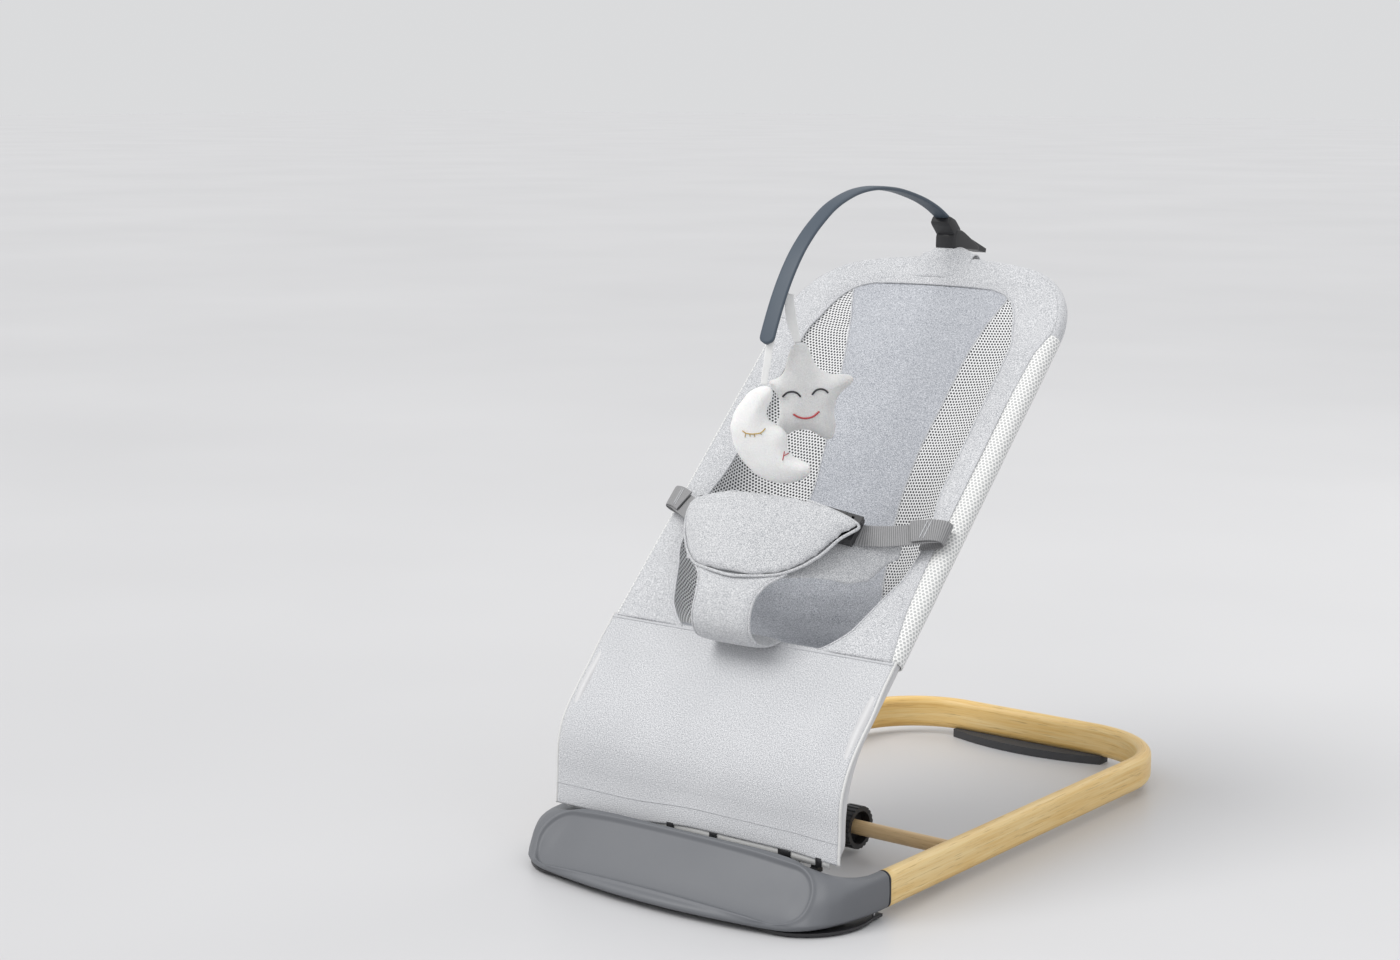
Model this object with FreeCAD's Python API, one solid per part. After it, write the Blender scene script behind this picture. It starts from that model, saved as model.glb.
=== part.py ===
import FreeCAD, Part
import math
import os

# Baby bouncer seat, in millimetres. +Z is up, the front faces -Y, and X is the width.
# The origin is the middle of the footprint, on the floor.
# Functions work with y = 0 at the joint of the front foot and the side rails. export() moves
# every piece by FOOTPRINT_MIDDLE, so that the origin ends up in the middle of the footprint.

V = FreeCAD.Vector
X_AXIS = V(1, 0, 0)
Z_AXIS = V(0, 0, 1)

# ---- base frame ----
RAIL_X = 200.0            # side rail's centreline, from the middle
RAIL_HIGH = 39.0
RAIL_THICK = 18.0
RAIL_Z = 27.5             # centre height of the rails
REAR_Y = 625.0            # rear bar's centreline
CORNER_R = 109.0          # rear corner's centreline radius
FOOT_FRONT_Y = -137.0
FOOT_BACK_Y = -59.0
FOOT_TOP = 66.0
GASKET = 1.5
PLATE_Z = 2.0             # the base plate stands on 2 mm pads
FOOTPRINT_MIDDLE = (FOOT_FRONT_Y + REAR_Y + RAIL_THICK / 2) / 2

# ---- rod and recline hub ----
ROD_Y = 150.0
ROD_Z = 28.5
ROD_R = 8.0
FIT = 0.08                # radial running fit of shafts
BARREL_R = 21.0
BARREL_HALF = 52.0
CAVITY_R = 15.5
CAVITY_HALF = 44.0
KNOB_R = 23.5
KNOB_LONG = 17.0
KNOB_GAP = 1.0
ARM_X = 30.0
ARM_R = 4.5

# ---- seat frame ----
SEAT_ANGLE = 45.2         # seat plane above the horizontal, degrees
SEAM_Y = 41.0             # seam between bucket and apron
SEAM_Z = 248.0
SEAT_LONG = 535.0         # from the seam to the top edge, along the seat plane
TUBE_X = 176.0
TUBE_R = 7.5
TUBE_WALL = 1.2
TUBE_DEEP = 9.3           # tube's centreline behind the seat plane
SHOULDER_R = 85.0
TOP_R = 546.0
APRON_R = 140.0           # outer radius of the curved front
APRON_HALF = 183.0
CLOTH = 1.4
BAR_Y = -45.0             # front crossbar
BAR_Z = 62.0
BAR_BEND = 22.0
BAR_HALF = 139.0
APRON_BOTTOM = 58.0

# ---- belt ----
BELT_R = 300.0            # the belt lies on a cylinder about an axis along the seat
BELT_CENTRE = -228.0      # that axis, above the seat plane
BUCKLE_S = 116.0          # middle of the buckles, along the seat
ANCHOR_S = 138.0          # middle of the webbing where it is sewn
WEB_WIDE = 25.0
WEB_THICK = 1.5
FLAP_LOW = 38.0
FLAP_TOP = 126.0
BUCKLE_X = 80.0
BUCKLE_LOW = 4.0          # buckle's centre below the belt cylinder

# ---- toy bar ----
BAR_TOP_Y = 262.0
BAR_TOP_Z = 707.0
FRONT_ARC_R = 188.0
REAR_ARC_R = 280.0
STRAP_WIDE = 19.0
STRAP_THICK = 4.5
TIP_ANGLE = 12.0
TOY_TURN = 38.0           # the toys face this far from -Y towards +X
STAR_HANG = V(7, 103, 610)
STAR_CENTRE = V(21.5, 119.4, 501)
MOON_CENTRE = V(3, 72, 460)


def box(low, high):
    """A box between two corners."""
    low = V(*low)
    size = V(*high) - low
    return Part.makeBox(size.x, size.y, size.z, low)


def rod_between(start, end, radius):
    """A round bar from one point to another."""
    return Part.makeCylinder(radius, (end - start).Length, start, end - start)


def prism(points, direction):
    """A polygon pushed along a vector."""
    return Part.Face(Part.makePolygon(points + points[:1])).extrude(direction)


def on_seat(shape):
    """Places a shape drawn as (x, along the seat, above the seat plane)."""
    placed = shape.copy()
    placed.rotate(V(0, 0, 0), X_AXIS, SEAT_ANGLE)
    placed.translate(V(0, SEAM_Y, SEAM_Z))
    return placed


def strip_between(start, end, across, wide, thick):
    """A flat strip from one point to another, lying across a given direction."""
    along = (end - start).normalize()
    normal = along.cross(across).normalize()
    flat = normal.cross(along)
    strip = box((0, -wide / 2, -thick / 2), ((end - start).Length, wide / 2, thick / 2))
    strip.Placement = FreeCAD.Placement(start, FreeCAD.Rotation(along, flat, normal, "XYZ"))
    return strip


def seat_point(x, along, above):
    """The place of a point given in the seat plane's own axes."""
    turn = FreeCAD.Rotation(X_AXIS, SEAT_ANGLE)
    return turn.multVec(V(x, along, above)) + V(0, SEAM_Y, SEAM_Z)


def mirrored(shape):
    """The same shape on the other side."""
    return shape.mirror(V(0, 0, 0), X_AXIS)


def export(name, shape):
    """Writes one node, with its place measured from the middle of the footprint."""
    placed = shape.copy()
    placed.translate(V(0, -FOOTPRINT_MIDDLE, 0))
    placed.exportStep("parts/" + name + ".step")
    broken = "" if placed.isValid() else " NOT VALID"
    print(name, len(placed.Solids), round(placed.Volume / 1000, 2), "cm3" + broken)


def both_sides(right):
    """The right-hand piece with its mirror image, as one group."""
    return Part.makeCompound([right, mirrored(right)])


def export_pair(name, right):
    """Writes the right-hand piece and its mirror image."""
    export(name + "_right", right)
    export(name + "_left", mirrored(right))


# ---------------------------------------------------------------- base

def rail_section(x, grow=0.0):
    """Flat-oval section of the rails at y = 0, as a face across Y."""
    half = RAIL_THICK / 2 + grow
    straight = (RAIL_HIGH - RAIL_THICK) / 2
    low = RAIL_Z - straight
    high = RAIL_Z + straight
    edges = [
        Part.LineSegment(V(x + half, 0, low), V(x + half, 0, high)).toShape(),
        Part.Arc(V(x + half, 0, high), V(x, 0, high + half), V(x - half, 0, high)).toShape(),
        Part.LineSegment(V(x - half, 0, high), V(x - half, 0, low)).toShape(),
        Part.Arc(V(x - half, 0, low), V(x, 0, low - half), V(x + half, 0, low)).toShape(),
    ]
    return Part.Face(Part.Wire(edges))


def spigot(grow=0.0):
    """Flat plug that joins the right rail to the foot."""
    return box((RAIL_X - 3.5 - grow, -28 - grow, RAIL_Z - 11 - grow),
               (RAIL_X + 3.5 + grow, 34 + grow, RAIL_Z + 11 + grow))


def rail_frame():
    """One bent flat-oval rail: two sides, two round corners and the rear bar."""
    straight = REAR_Y - CORNER_R - GASKET
    section = rail_section(RAIL_X)
    section.translate(V(0, GASKET, 0))
    side = section.extrude(V(0, straight, 0))
    corner_section = rail_section(RAIL_X)
    corner_section.translate(V(0, REAR_Y - CORNER_R, 0))
    pivot = V(RAIL_X - CORNER_R, REAR_Y - CORNER_R, 0)
    corner = corner_section.revolve(pivot, Z_AXIS, 90)
    end = rail_section(RAIL_X)
    end.translate(V(0, REAR_Y - CORNER_R, 0))
    end.rotate(pivot, Z_AXIS, 90)
    rear = end.extrude(V(-2 * (RAIL_X - CORNER_R), 0, 0))
    right = side.fuse(corner)
    whole = right.fuse([rear, mirrored(right)]).removeSplitter()
    socket = spigot(0.2)
    bore = rod_between(V(-RAIL_X + 1, ROD_Y, ROD_Z), V(RAIL_X - 1, ROD_Y, ROD_Z), ROD_R + 0.05)
    return whole.cut(Part.makeCompound([socket, mirrored(socket), bore]))


def foot_plan(inset):
    """Plan of the front foot: a bowed front that curves back into both rails."""
    outer = RAIL_X + RAIL_THICK / 2 - inset
    inner = RAIL_X - RAIL_THICK / 2 + inset
    front = FOOT_FRONT_Y + inset
    back = FOOT_BACK_Y - inset
    edges = [
        Part.LineSegment(V(inner, 0, 0), V(outer, 0, 0)).toShape(),
        Part.LineSegment(V(outer, 0, 0), V(outer, -24, 0)).toShape(),
        Part.Arc(V(outer, -24, 0), V(outer - 8, -82, 0), V(outer - 42, front + 21, 0)).toShape(),
        Part.Arc(V(outer - 42, front + 21, 0), V(0, front, 0), V(42 - outer, front + 21, 0)).toShape(),
        Part.Arc(V(42 - outer, front + 21, 0), V(8 - outer, -82, 0), V(-outer, -24, 0)).toShape(),
        Part.LineSegment(V(-outer, -24, 0), V(-outer, 0, 0)).toShape(),
        Part.LineSegment(V(-outer, 0, 0), V(-inner, 0, 0)).toShape(),
        Part.Arc(V(-inner, 0, 0), V(12 - inner, -39, 0), V(42 - inner, back, 0)).toShape(),
        Part.LineSegment(V(42 - inner, back, 0), V(inner - 42, back, 0)).toShape(),
        Part.Arc(V(inner - 42, back, 0), V(inner - 12, -39, 0), V(inner, 0, 0)).toShape(),
    ]
    return Part.Face(Part.Wire(edges))


def foot_shell():
    """Front foot: a slanted panel between two necks, hollow under the panel."""
    plan = foot_plan(0).extrude(V(0, 0, FOOT_TOP))
    rail_top = RAIL_Z + RAIL_HIGH / 2
    rail_low = RAIL_Z - RAIL_HIGH / 2
    side = [V(-220, 0, rail_low), V(-220, 0, rail_top), V(-220, -46, rail_top + 2), V(-220, -60, 60),
            V(-220, -64, 65), V(-220, -70, FOOT_TOP), V(-220, -76, 63), V(-220, -134, 22),
            V(-220, FOOT_FRONT_Y, 17), V(-220, -132, 12), V(-220, -122, 5), V(-220, -30, 5)]
    face = [V(-209, -150, 3), V(-209, -150, 40), V(-203, -150, rail_top), V(-178, -150, rail_top + 4),
            V(-158, -150, 63), V(-148, -150, FOOT_TOP), V(148, -150, FOOT_TOP), V(158, -150, 63),
            V(178, -150, rail_top + 4), V(203, -150, rail_top), V(209, -150, 40), V(209, -150, 3)]
    shell = plan.common(prism(side, V(440, 0, 0))).common(prism(face, V(0, 160, 0)))
    hollow = prism([V(-148, -124, 4), V(-148, -124, 22), V(-148, -76, 56), V(-148, -64, 54),
                    V(-148, -64, 4)], V(296, 0, 0))
    socket = spigot(0.2)
    holes = [Part.makeCylinder(1.6, 14, V(x, y, 4)) for x, y in foot_screw_places()]
    return shell.cut(Part.makeCompound([hollow, socket, mirrored(socket)] + holes))


def foot_screw_places():
    """The four screws of the base plate, from below."""
    return [(side * x, y) for side in (-1, 1) for x, y in ((200, -16), (186, -52))]


def foot_base_plate():
    """Black plate that closes the foot from below."""
    plate = foot_plan(5).extrude(V(0, 0, 5 - PLATE_Z))
    plate.translate(V(0, 0, PLATE_Z))
    plate = plate.common(box((-220, -114, 0), (220, -6, 10)))
    holes = [Part.makeCylinder(1.6, 5, V(x, y, PLATE_Z - 1)) for x, y in foot_screw_places()]
    return plate.cut(Part.makeCompound(holes))


def foot_screws():
    """Countersunk screws up through the base plate."""
    screws = []
    for x, y in foot_screw_places():
        screws.append(Part.makeCylinder(1.5, 13, V(x, y, PLATE_Z)))
    return Part.makeCompound(screws)


def foot_pads():
    """Three rubber pads under the base plate."""
    pads = []
    for x in (-125, 0, 125):
        pads.append(box((x - 28, -108, 0), (x + 28, -84, PLATE_Z)))
    return Part.makeCompound(pads)


def joint_gasket():
    """Thin dark ring between the right rail and the foot."""
    ring = rail_section(RAIL_X).extrude(V(0, GASKET, 0))
    return ring.cut(spigot(0.2))


def rear_pad():
    """Bowed rubber pad under the rear bar."""
    low = REAR_Y - 31
    tip = REAR_Y - 12
    back = REAR_Y + 7
    edges = [
        Part.Arc(V(-105, tip, 0), V(0, low, 0), V(105, tip, 0)).toShape(),
        Part.LineSegment(V(105, tip, 0), V(105, back, 0)).toShape(),
        Part.LineSegment(V(105, back, 0), V(-105, back, 0)).toShape(),
        Part.LineSegment(V(-105, back, 0), V(-105, tip, 0)).toShape(),
    ]
    pad = Part.Face(Part.Wire(edges)).extrude(V(0, 0, RAIL_Z - RAIL_HIGH / 2 + 2))
    holes = [Part.makeCylinder(2.1, 20, V(x, REAR_Y, -1)) for x in (-70, 70)]
    return pad.cut(Part.makeCompound([rail_frame()] + holes))


def rear_pad_screws():
    """Two screws that hold the rear pad, ending under the rail's surface."""
    return Part.makeCompound([Part.makeCylinder(2, 6, V(x, REAR_Y, 1.5)) for x in (-70, 70)])


def cross_rod():
    """Round rod between the two side rails."""
    return rod_between(V(-RAIL_X + 1.5, ROD_Y, ROD_Z), V(RAIL_X - 1.5, ROD_Y, ROD_Z), ROD_R)


def detent_wheels():
    """Two toothed wheels fixed on the rod, inside the barrel."""
    wheels = []
    for x in (-38, 32):
        wheel = rod_between(V(x, ROD_Y, ROD_Z), V(x + 6, ROD_Y, ROD_Z), 14.5)
        notches = [rod_between(V(x, ROD_Y, ROD_Z), V(x + 6, ROD_Y, ROD_Z), ROD_R)]
        for tooth in range(12):
            turn = math.radians(30 * tooth)
            middle = V(x, ROD_Y + 14.5 * math.cos(turn), ROD_Z + 14.5 * math.sin(turn))
            notches.append(Part.makeCylinder(1.8, 6, middle, X_AXIS))
        wheels.append(wheel.cut(Part.makeCompound(notches)))
    return Part.makeCompound(wheels)


# ---------------------------------------------------------------- recline hub

def arm_ends():
    """Where a spring arm starts, at the crossbar, and ends, in the barrel."""
    bar = V(0, BAR_Y, BAR_Z)
    rod = V(0, ROD_Y, ROD_Z)
    along = (rod - bar).normalize()
    return bar + along * 9.5, rod - along * 16.5, along


def spring_arm():
    """Right-hand spring arm from the crossbar clamp to the barrel."""
    start, end, _ = arm_ends()
    return rod_between(start + V(ARM_X, 0, 0), end + V(ARM_X, 0, 0), ARM_R)


def arm_clamp():
    """Right-hand clamp: it snaps on the crossbar from behind and has a collar for the arm."""
    _, _, along = arm_ends()
    bar = V(ARM_X, BAR_Y, BAR_Z)
    ring = Part.makeCylinder(12, 16, bar - V(8, 0, 0), X_AXIS)
    collar = rod_between(bar + along * 6, bar + along * 30, 8)
    bore = Part.makeCylinder(TUBE_R + FIT, 20, bar - V(10, 0, 0), X_AXIS)
    front = box((0, BAR_Y - 20, BAR_Z - 7), (60, BAR_Y - 6.3, BAR_Z + 20))
    return ring.fuse(collar).cut(Part.makeCompound([bore, front, spring_arm()]))


def barrel_half(upper):
    """One half of the barrel that turns on the rod. The arms are held at the split."""
    start = V(-BARREL_HALF, ROD_Y, ROD_Z)
    end = V(BARREL_HALF, ROD_Y, ROD_Z)
    barrel = rod_between(start, end, BARREL_R)
    for x in (-CAVITY_HALF, -14, 14, CAVITY_HALF):
        barrel = barrel.fuse(Part.makeCylinder(BARREL_R + 0.8, 3, V(x - 1.5, ROD_Y, ROD_Z), X_AXIS))
    cavity = rod_between(V(-CAVITY_HALF, ROD_Y, ROD_Z), V(CAVITY_HALF, ROD_Y, ROD_Z), CAVITY_R)
    bore = rod_between(start - X_AXIS, end + X_AXIS, ROD_R + FIT)
    arm = spring_arm()
    barrel = barrel.cut(Part.makeCompound([cavity, bore, arm, mirrored(arm)]))
    _, _, along = arm_ends()
    tilt = math.degrees(math.atan2(along.z, along.y))
    side = box((-60, -40, 0.05), (60, 40, 40)) if upper else box((-60, -40, -40), (60, 40, -0.05))
    side.rotate(V(0, 0, 0), X_AXIS, tilt)
    side.translate(V(0, ROD_Y, ROD_Z))
    return barrel.common(side)


def lock_knob():
    """Right-hand ribbed knob: a cup that opens outwards round the rod."""
    inner = BARREL_HALF + KNOB_GAP
    start = V(inner, ROD_Y, ROD_Z)
    knob = Part.makeCylinder(KNOB_R, KNOB_LONG, start, X_AXIS)
    cup = Part.makeCylinder(KNOB_R - 5.5, KNOB_LONG, start + V(6, 0, 0), X_AXIS)
    cuts = [cup, Part.makeCylinder(ROD_R + FIT, 30, start - V(5, 0, 0), X_AXIS)]
    for rib in range(24):
        turn = math.radians(15 * rib)
        middle = start + V(3, (KNOB_R + 0.6) * math.cos(turn), (KNOB_R + 0.6) * math.sin(turn))
        cuts.append(Part.makeCylinder(1.7, KNOB_LONG, middle, X_AXIS))
    return knob.cut(Part.makeCompound(cuts))


# ---------------------------------------------------------------- seat frame

def apron_arc_points(outer):
    """Start, middle and end of the apron's arc, as (y, z), for a radius from its centre."""
    turn = math.radians(90 - SEAT_ANGLE)
    slope = math.tan(math.radians(SEAT_ANGLE))
    start_y = BAR_Y - TUBE_DEEP + APRON_R * (1 - math.cos(turn))
    start_z = SEAM_Z + (start_y - SEAM_Y) * slope
    centre_y = start_y + APRON_R * math.cos(turn)
    centre_z = start_z - APRON_R * math.sin(turn)
    points = []
    for part in (1.0, 0.5, 0.0):
        angle = turn * part
        points.append((centre_y - outer * math.cos(angle), centre_z + outer * math.sin(angle)))
    return points


def hoop_path(x_sign):
    """Edges of one half of the hoop's centreline, from the crossbar to the top middle."""
    deep = -TUBE_DEEP
    (ay, az), (my, mz), (by, bz) = apron_arc_points(APRON_R - TUBE_DEEP)
    x = TUBE_X * x_sign
    end = V(BAR_HALF * x_sign, BAR_Y, BAR_Z)
    bend_start = V(x - BAR_BEND * x_sign, BAR_Y, BAR_Z)
    corner = V(x - BAR_BEND * x_sign, BAR_Y, BAR_Z + BAR_BEND)
    half = math.sqrt(0.5) * BAR_BEND
    bend_mid = corner + V(half * x_sign, 0, -half)
    bend_end = V(x, BAR_Y, BAR_Z + BAR_BEND)
    width = TUBE_X - SHOULDER_R
    top = SEAT_LONG - TUBE_DEEP
    shoulder_s = top - TOP_R + math.sqrt((TOP_R - SHOULDER_R) ** 2 - width ** 2)
    turn = math.atan2(shoulder_s - top + TOP_R, width)

    def shoulder(angle):
        return seat_point((width + SHOULDER_R * math.cos(angle)) * x_sign,
                          shoulder_s + SHOULDER_R * math.sin(angle), deep)

    def crown(angle):
        return seat_point(TOP_R * math.cos(angle) * x_sign, top - TOP_R + TOP_R * math.sin(angle), deep)

    quarter = math.pi / 2
    return [
        Part.LineSegment(end, bend_start).toShape(),
        Part.Arc(bend_start, bend_mid, bend_end).toShape(),
        Part.LineSegment(bend_end, V(x, by, bz)).toShape(),
        Part.Arc(V(x, by, bz), V(x, my, mz), V(x, ay, az)).toShape(),
        Part.LineSegment(V(x, ay, az), shoulder(0)).toShape(),
        Part.Arc(shoulder(0), shoulder(turn / 2), shoulder(turn)).toShape(),
        Part.Arc(crown(turn), crown((turn + quarter) / 2), crown(quarter)).toShape(),
    ]


def seat_hoop():
    """Bent steel tube: both sides, the round shoulders and the arched top."""
    path = Part.Wire(Part.__sortEdges__(hoop_path(1) + hoop_path(-1)))
    start = V(BAR_HALF, BAR_Y, BAR_Z)

    def sweep(radius):
        ring = Part.Wire(Part.Circle(start, X_AXIS, radius).toShape())
        return path.makePipeShell([ring], True, False)

    return sweep(TUBE_R).cut(sweep(TUBE_R - TUBE_WALL))


def front_crossbar():
    """Straight tube between the hoop's two lower ends."""
    half = BAR_HALF - 0.5
    bar = rod_between(V(-half, BAR_Y, BAR_Z), V(half, BAR_Y, BAR_Z), TUBE_R)
    return bar.cut(rod_between(V(-half, BAR_Y, BAR_Z), V(half, BAR_Y, BAR_Z), TUBE_R - TUBE_WALL))


def crossbar_plug():
    """Right-hand plug inside both tubes where hoop and crossbar meet."""
    return rod_between(V(BAR_HALF - 25, BAR_Y, BAR_Z), V(BAR_HALF + 12, BAR_Y, BAR_Z),
                       TUBE_R - TUBE_WALL - 0.05)


def hem_strip():
    """White strip along the apron's lower edge, with a window at each clip and clamp."""
    strip = box((-159, BAR_Y - 7.6, 46.5), (159, BAR_Y - 6, 53.5))
    windows = [box((x - wide / 2, BAR_Y - 10, 48), (x + wide / 2, BAR_Y, 54)) for x, wide in hook_places()]
    windows += [box((x - 10, BAR_Y - 10, 40), (x + 10, BAR_Y, 54)) for x in (-ARM_X, ARM_X)]
    return strip.cut(Part.makeCompound(windows))


def hook_places():
    """Middle and width of each clip."""
    return [(-152, 9), (-118, 22), (118, 22), (152, 9)]


def hook_clips():
    """Black clips that hang under the crossbar and hold the hem strip."""
    clips = []
    for x, wide in hook_places():
        low = (x - wide / 2 + 0.3, BAR_Y - 8.8, 48.3)
        back = box((low[0], BAR_Y - 5.6, 48.3), (x + wide / 2 - 0.3, BAR_Y + 3, BAR_Z))
        clip = box(low, (x + wide / 2 - 0.3, BAR_Y + 3, 53.2)).fuse(back)
        bar = rod_between(V(-BAR_HALF, BAR_Y, BAR_Z), V(BAR_HALF + 40, BAR_Y, BAR_Z), TUBE_R)
        clips.append(clip.cut(bar.fuse(rod_between(V(-180, BAR_Y, BAR_Z), V(0, BAR_Y, BAR_Z), TUBE_R))))
    return Part.makeCompound(clips)


# ---------------------------------------------------------------- cover

def seat_outline(grow):
    """Outline of the seat above the seam, as edges in the seat plane, pushed out by a margin."""
    width = TUBE_X - SHOULDER_R
    top = SEAT_LONG - TUBE_DEEP
    shoulder_s = top - TOP_R + math.sqrt((TOP_R - SHOULDER_R) ** 2 - width ** 2)
    turn = math.atan2(shoulder_s - top + TOP_R, width)
    small = SHOULDER_R + grow
    large = TOP_R + grow

    def shoulder(angle, sign):
        return V((width + small * math.cos(angle)) * sign, shoulder_s + small * math.sin(angle), 0)

    right = TUBE_X + grow
    return [
        Part.LineSegment(V(right, 0, 0), shoulder(0, 1)).toShape(),
        Part.Arc(shoulder(0, 1), shoulder(turn / 2, 1), shoulder(turn, 1)).toShape(),
        Part.Arc(shoulder(turn, 1), V(0, top - TOP_R + large, 0), shoulder(turn, -1)).toShape(),
        Part.Arc(shoulder(turn, -1), shoulder(turn / 2, -1), shoulder(0, -1)).toShape(),
        Part.LineSegment(shoulder(0, -1), V(-right, 0, 0)).toShape(),
    ]


def outline_face(grow, low_s=0.0):
    """The seat's outline as a face, cut off below low_s."""
    right = TUBE_X + grow
    edges = seat_outline(grow)
    edges.append(Part.LineSegment(V(-right, 0, 0), V(right, 0, 0)).toShape())
    face = Part.Face(Part.Wire(edges))
    if low_s > 0:
        return face.common(Part.makePlane(500, 600, V(-250, low_s, 0)))
    return face


# Bucket stations: place along the seat, half-width, depth.
BUCKET = [(2, 88, 6), (12, 103, 44), (35, 119, 67), (80, 139, 79), (140, 151, 74), (210, 144, 58),
          (290, 140, 36), (370, 138, 18), (440, 126, 8), (486, 80, 4)]
BUCKET_TOP = -1.7
BUCKET_STEPS = 12
BUCKET_POWER = 2.5


def bucket_section(along, half, deep, lid):
    """One U-shaped section across the seat, closed on top by a line at height lid."""
    points = [V(half, along, lid)]
    for step in range(BUCKET_STEPS + 1):
        angle = math.pi * step / BUCKET_STEPS
        x = half * math.copysign(abs(math.cos(angle)) ** (2 / BUCKET_POWER), math.cos(angle))
        drop = deep * abs(math.sin(angle)) ** (2 / BUCKET_POWER)
        points.append(V(x, along, BUCKET_TOP - drop))
    points.append(V(-half, along, lid))
    return Part.makePolygon(points + points[:1])


def bucket_shell():
    """Hanging bucket of the cover, open towards the child."""
    outer = [bucket_section(s, w, d, BUCKET_TOP + 0.01) for s, w, d in BUCKET]
    first = BUCKET[0]
    last = BUCKET[-1]
    stations = [(first[0] + CLOTH, first[1], first[2])] + BUCKET[1:-1]
    stations.append((last[0] - CLOTH, last[1], last[2]))
    inner = [bucket_section(s, w - CLOTH, d - CLOTH, 6) for s, w, d in stations]
    shell = Part.makeLoft(outer, True, True)
    return shell.cut(Part.makeLoft(inner, True, True))


# Middle panel: place along the seat, half-width. It is waisted like an hourglass.
PANEL = [(0, 86), (60, 86), (130, 74), (200, 60), (280, 61), (400, 80), (500, 76)]


def middle_wedge():
    """Block that divides the bucket into its middle panel and two mesh sides."""
    right = [V(half, along, -100) for along, half in PANEL]
    left = [V(-p.x, p.y, p.z) for p in reversed(right)]
    return prism(right + left, V(0, 0, 120))


def cover_border():
    """Front band of the cover, between the tube and the bucket."""
    plate = outline_face(TUBE_DEEP - 1.0)
    hole = []
    for s, w, _ in BUCKET:
        hole.append(V(w, s, 0))
    hole.append(V(0, BUCKET[-1][0] + 4, 0))
    hole += [V(-p.x, p.y, 0) for p in reversed(hole[:-1])]
    opening = Part.Face(Part.makePolygon(hole + hole[:1]))
    band = plate.cut(opening).extrude(V(0, 0, -CLOTH))
    return on_seat(band)


def side_gusset():
    """Right-hand strip of spacer mesh along the tube's outer side."""
    x = TUBE_X + TUBE_R + 0.3
    strip = prism([V(x, 8, -3), V(x, 120, -2), V(x, 425, -2), V(x, 425, -16), V(x, 330, -19),
                   V(x, 90, -19), V(x, 8, -15)], V(CLOTH, 0, 0))
    return on_seat(strip)


def cover_back():
    """Pocket on the back of the head end, over the hoop."""
    sheet = outline_face(TUBE_DEEP - 1.0, 415).extrude(V(0, 0, -CLOTH))
    sheet.translate(V(0, 0, -TUBE_DEEP - TUBE_R - 0.5))
    return on_seat(sheet)


def head_rim():
    """Rim of the cover round the top of the hoop, between border and back pocket."""
    deep = TUBE_DEEP + TUBE_R + 0.4
    outer = outline_face(TUBE_DEEP - 1.0, 428).extrude(V(0, 0, -deep + CLOTH + 0.1))
    inner = outline_face(TUBE_R + 0.1, 420).extrude(V(0, 0, -deep - 5))
    rim = outer.cut(inner)
    rim.translate(V(0, 0, -CLOTH - 0.05))
    return on_seat(rim)


def apron_band(outer_r, inner_r, x_low, x_high, bottom):
    """A band that follows the front curve, from the seam to a height."""
    out = apron_arc_points(outer_r)
    inn = apron_arc_points(inner_r)
    deep = APRON_R - outer_r
    low = APRON_R - inner_r
    a = seat_point(0, -0.4, -deep)
    b = seat_point(0, -0.4, -low)

    def at(pair):
        return V(x_low, pair[0], pair[1])

    edges = [
        Part.LineSegment(V(x_low, a.y, a.z), at(out[0])).toShape(),
        Part.Arc(at(out[0]), at(out[1]), at(out[2])).toShape(),
        Part.LineSegment(at(out[2]), V(x_low, out[2][0], bottom)).toShape(),
        Part.LineSegment(V(x_low, out[2][0], bottom), V(x_low, inn[2][0], bottom)).toShape(),
        Part.LineSegment(V(x_low, inn[2][0], bottom), at(inn[2])).toShape(),
        Part.Arc(at(inn[2]), at(inn[1]), at(inn[0])).toShape(),
        Part.LineSegment(at(inn[0]), V(x_low, b.y, b.z)).toShape(),
        Part.LineSegment(V(x_low, b.y, b.z), V(x_low, a.y, a.z)).toShape(),
    ]
    return Part.Face(Part.Wire(edges)).extrude(V(x_high - x_low, 0, 0))


def apron_panel():
    """Lower front of the cover, from the seam over the curve to the hem."""
    return apron_band(APRON_R, APRON_R - CLOTH, -APRON_HALF, APRON_HALF, APRON_BOTTOM)


def apron_piping():
    """White edge along the apron's right side."""
    return apron_band(APRON_R, APRON_R - 3, APRON_HALF + 0.1, APRON_HALF + 2.1, APRON_BOTTOM)


# ---------------------------------------------------------------- belt

def belt_piece(inner_r, outer_r, half, low_s, high_s):
    """Part of a ring about the belt's axis, between two places along the seat."""
    long = high_s - low_s
    centre = V(0, low_s, BELT_CENTRE)
    ring = Part.makeCylinder(outer_r, long, centre, V(0, 1, 0))
    ring = ring.cut(Part.makeCylinder(inner_r, long, centre, V(0, 1, 0)))
    return ring.common(box((-half, low_s - 1, 0), (half, high_s + 1, 200)))


def belt_panel():
    """Belt fabric under the buckles, with a wing to each side."""
    return on_seat(belt_piece(BELT_R - 16, BELT_R - 13, 140, 84, 146))


def belt_flap():
    """Padded flap in front of the belt, with rounded lower corners."""
    flap = belt_piece(BELT_R + 4, BELT_R + 12, 112, FLAP_LOW, FLAP_TOP)
    trim = Part.makeCylinder(130, 200, V(0, 130 + FLAP_LOW, 0), Z_AXIS)
    crown = Part.makeCylinder(450, 200, V(0, FLAP_TOP - 450, 0), Z_AXIS)
    return on_seat(flap.common(trim).common(crown))


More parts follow.
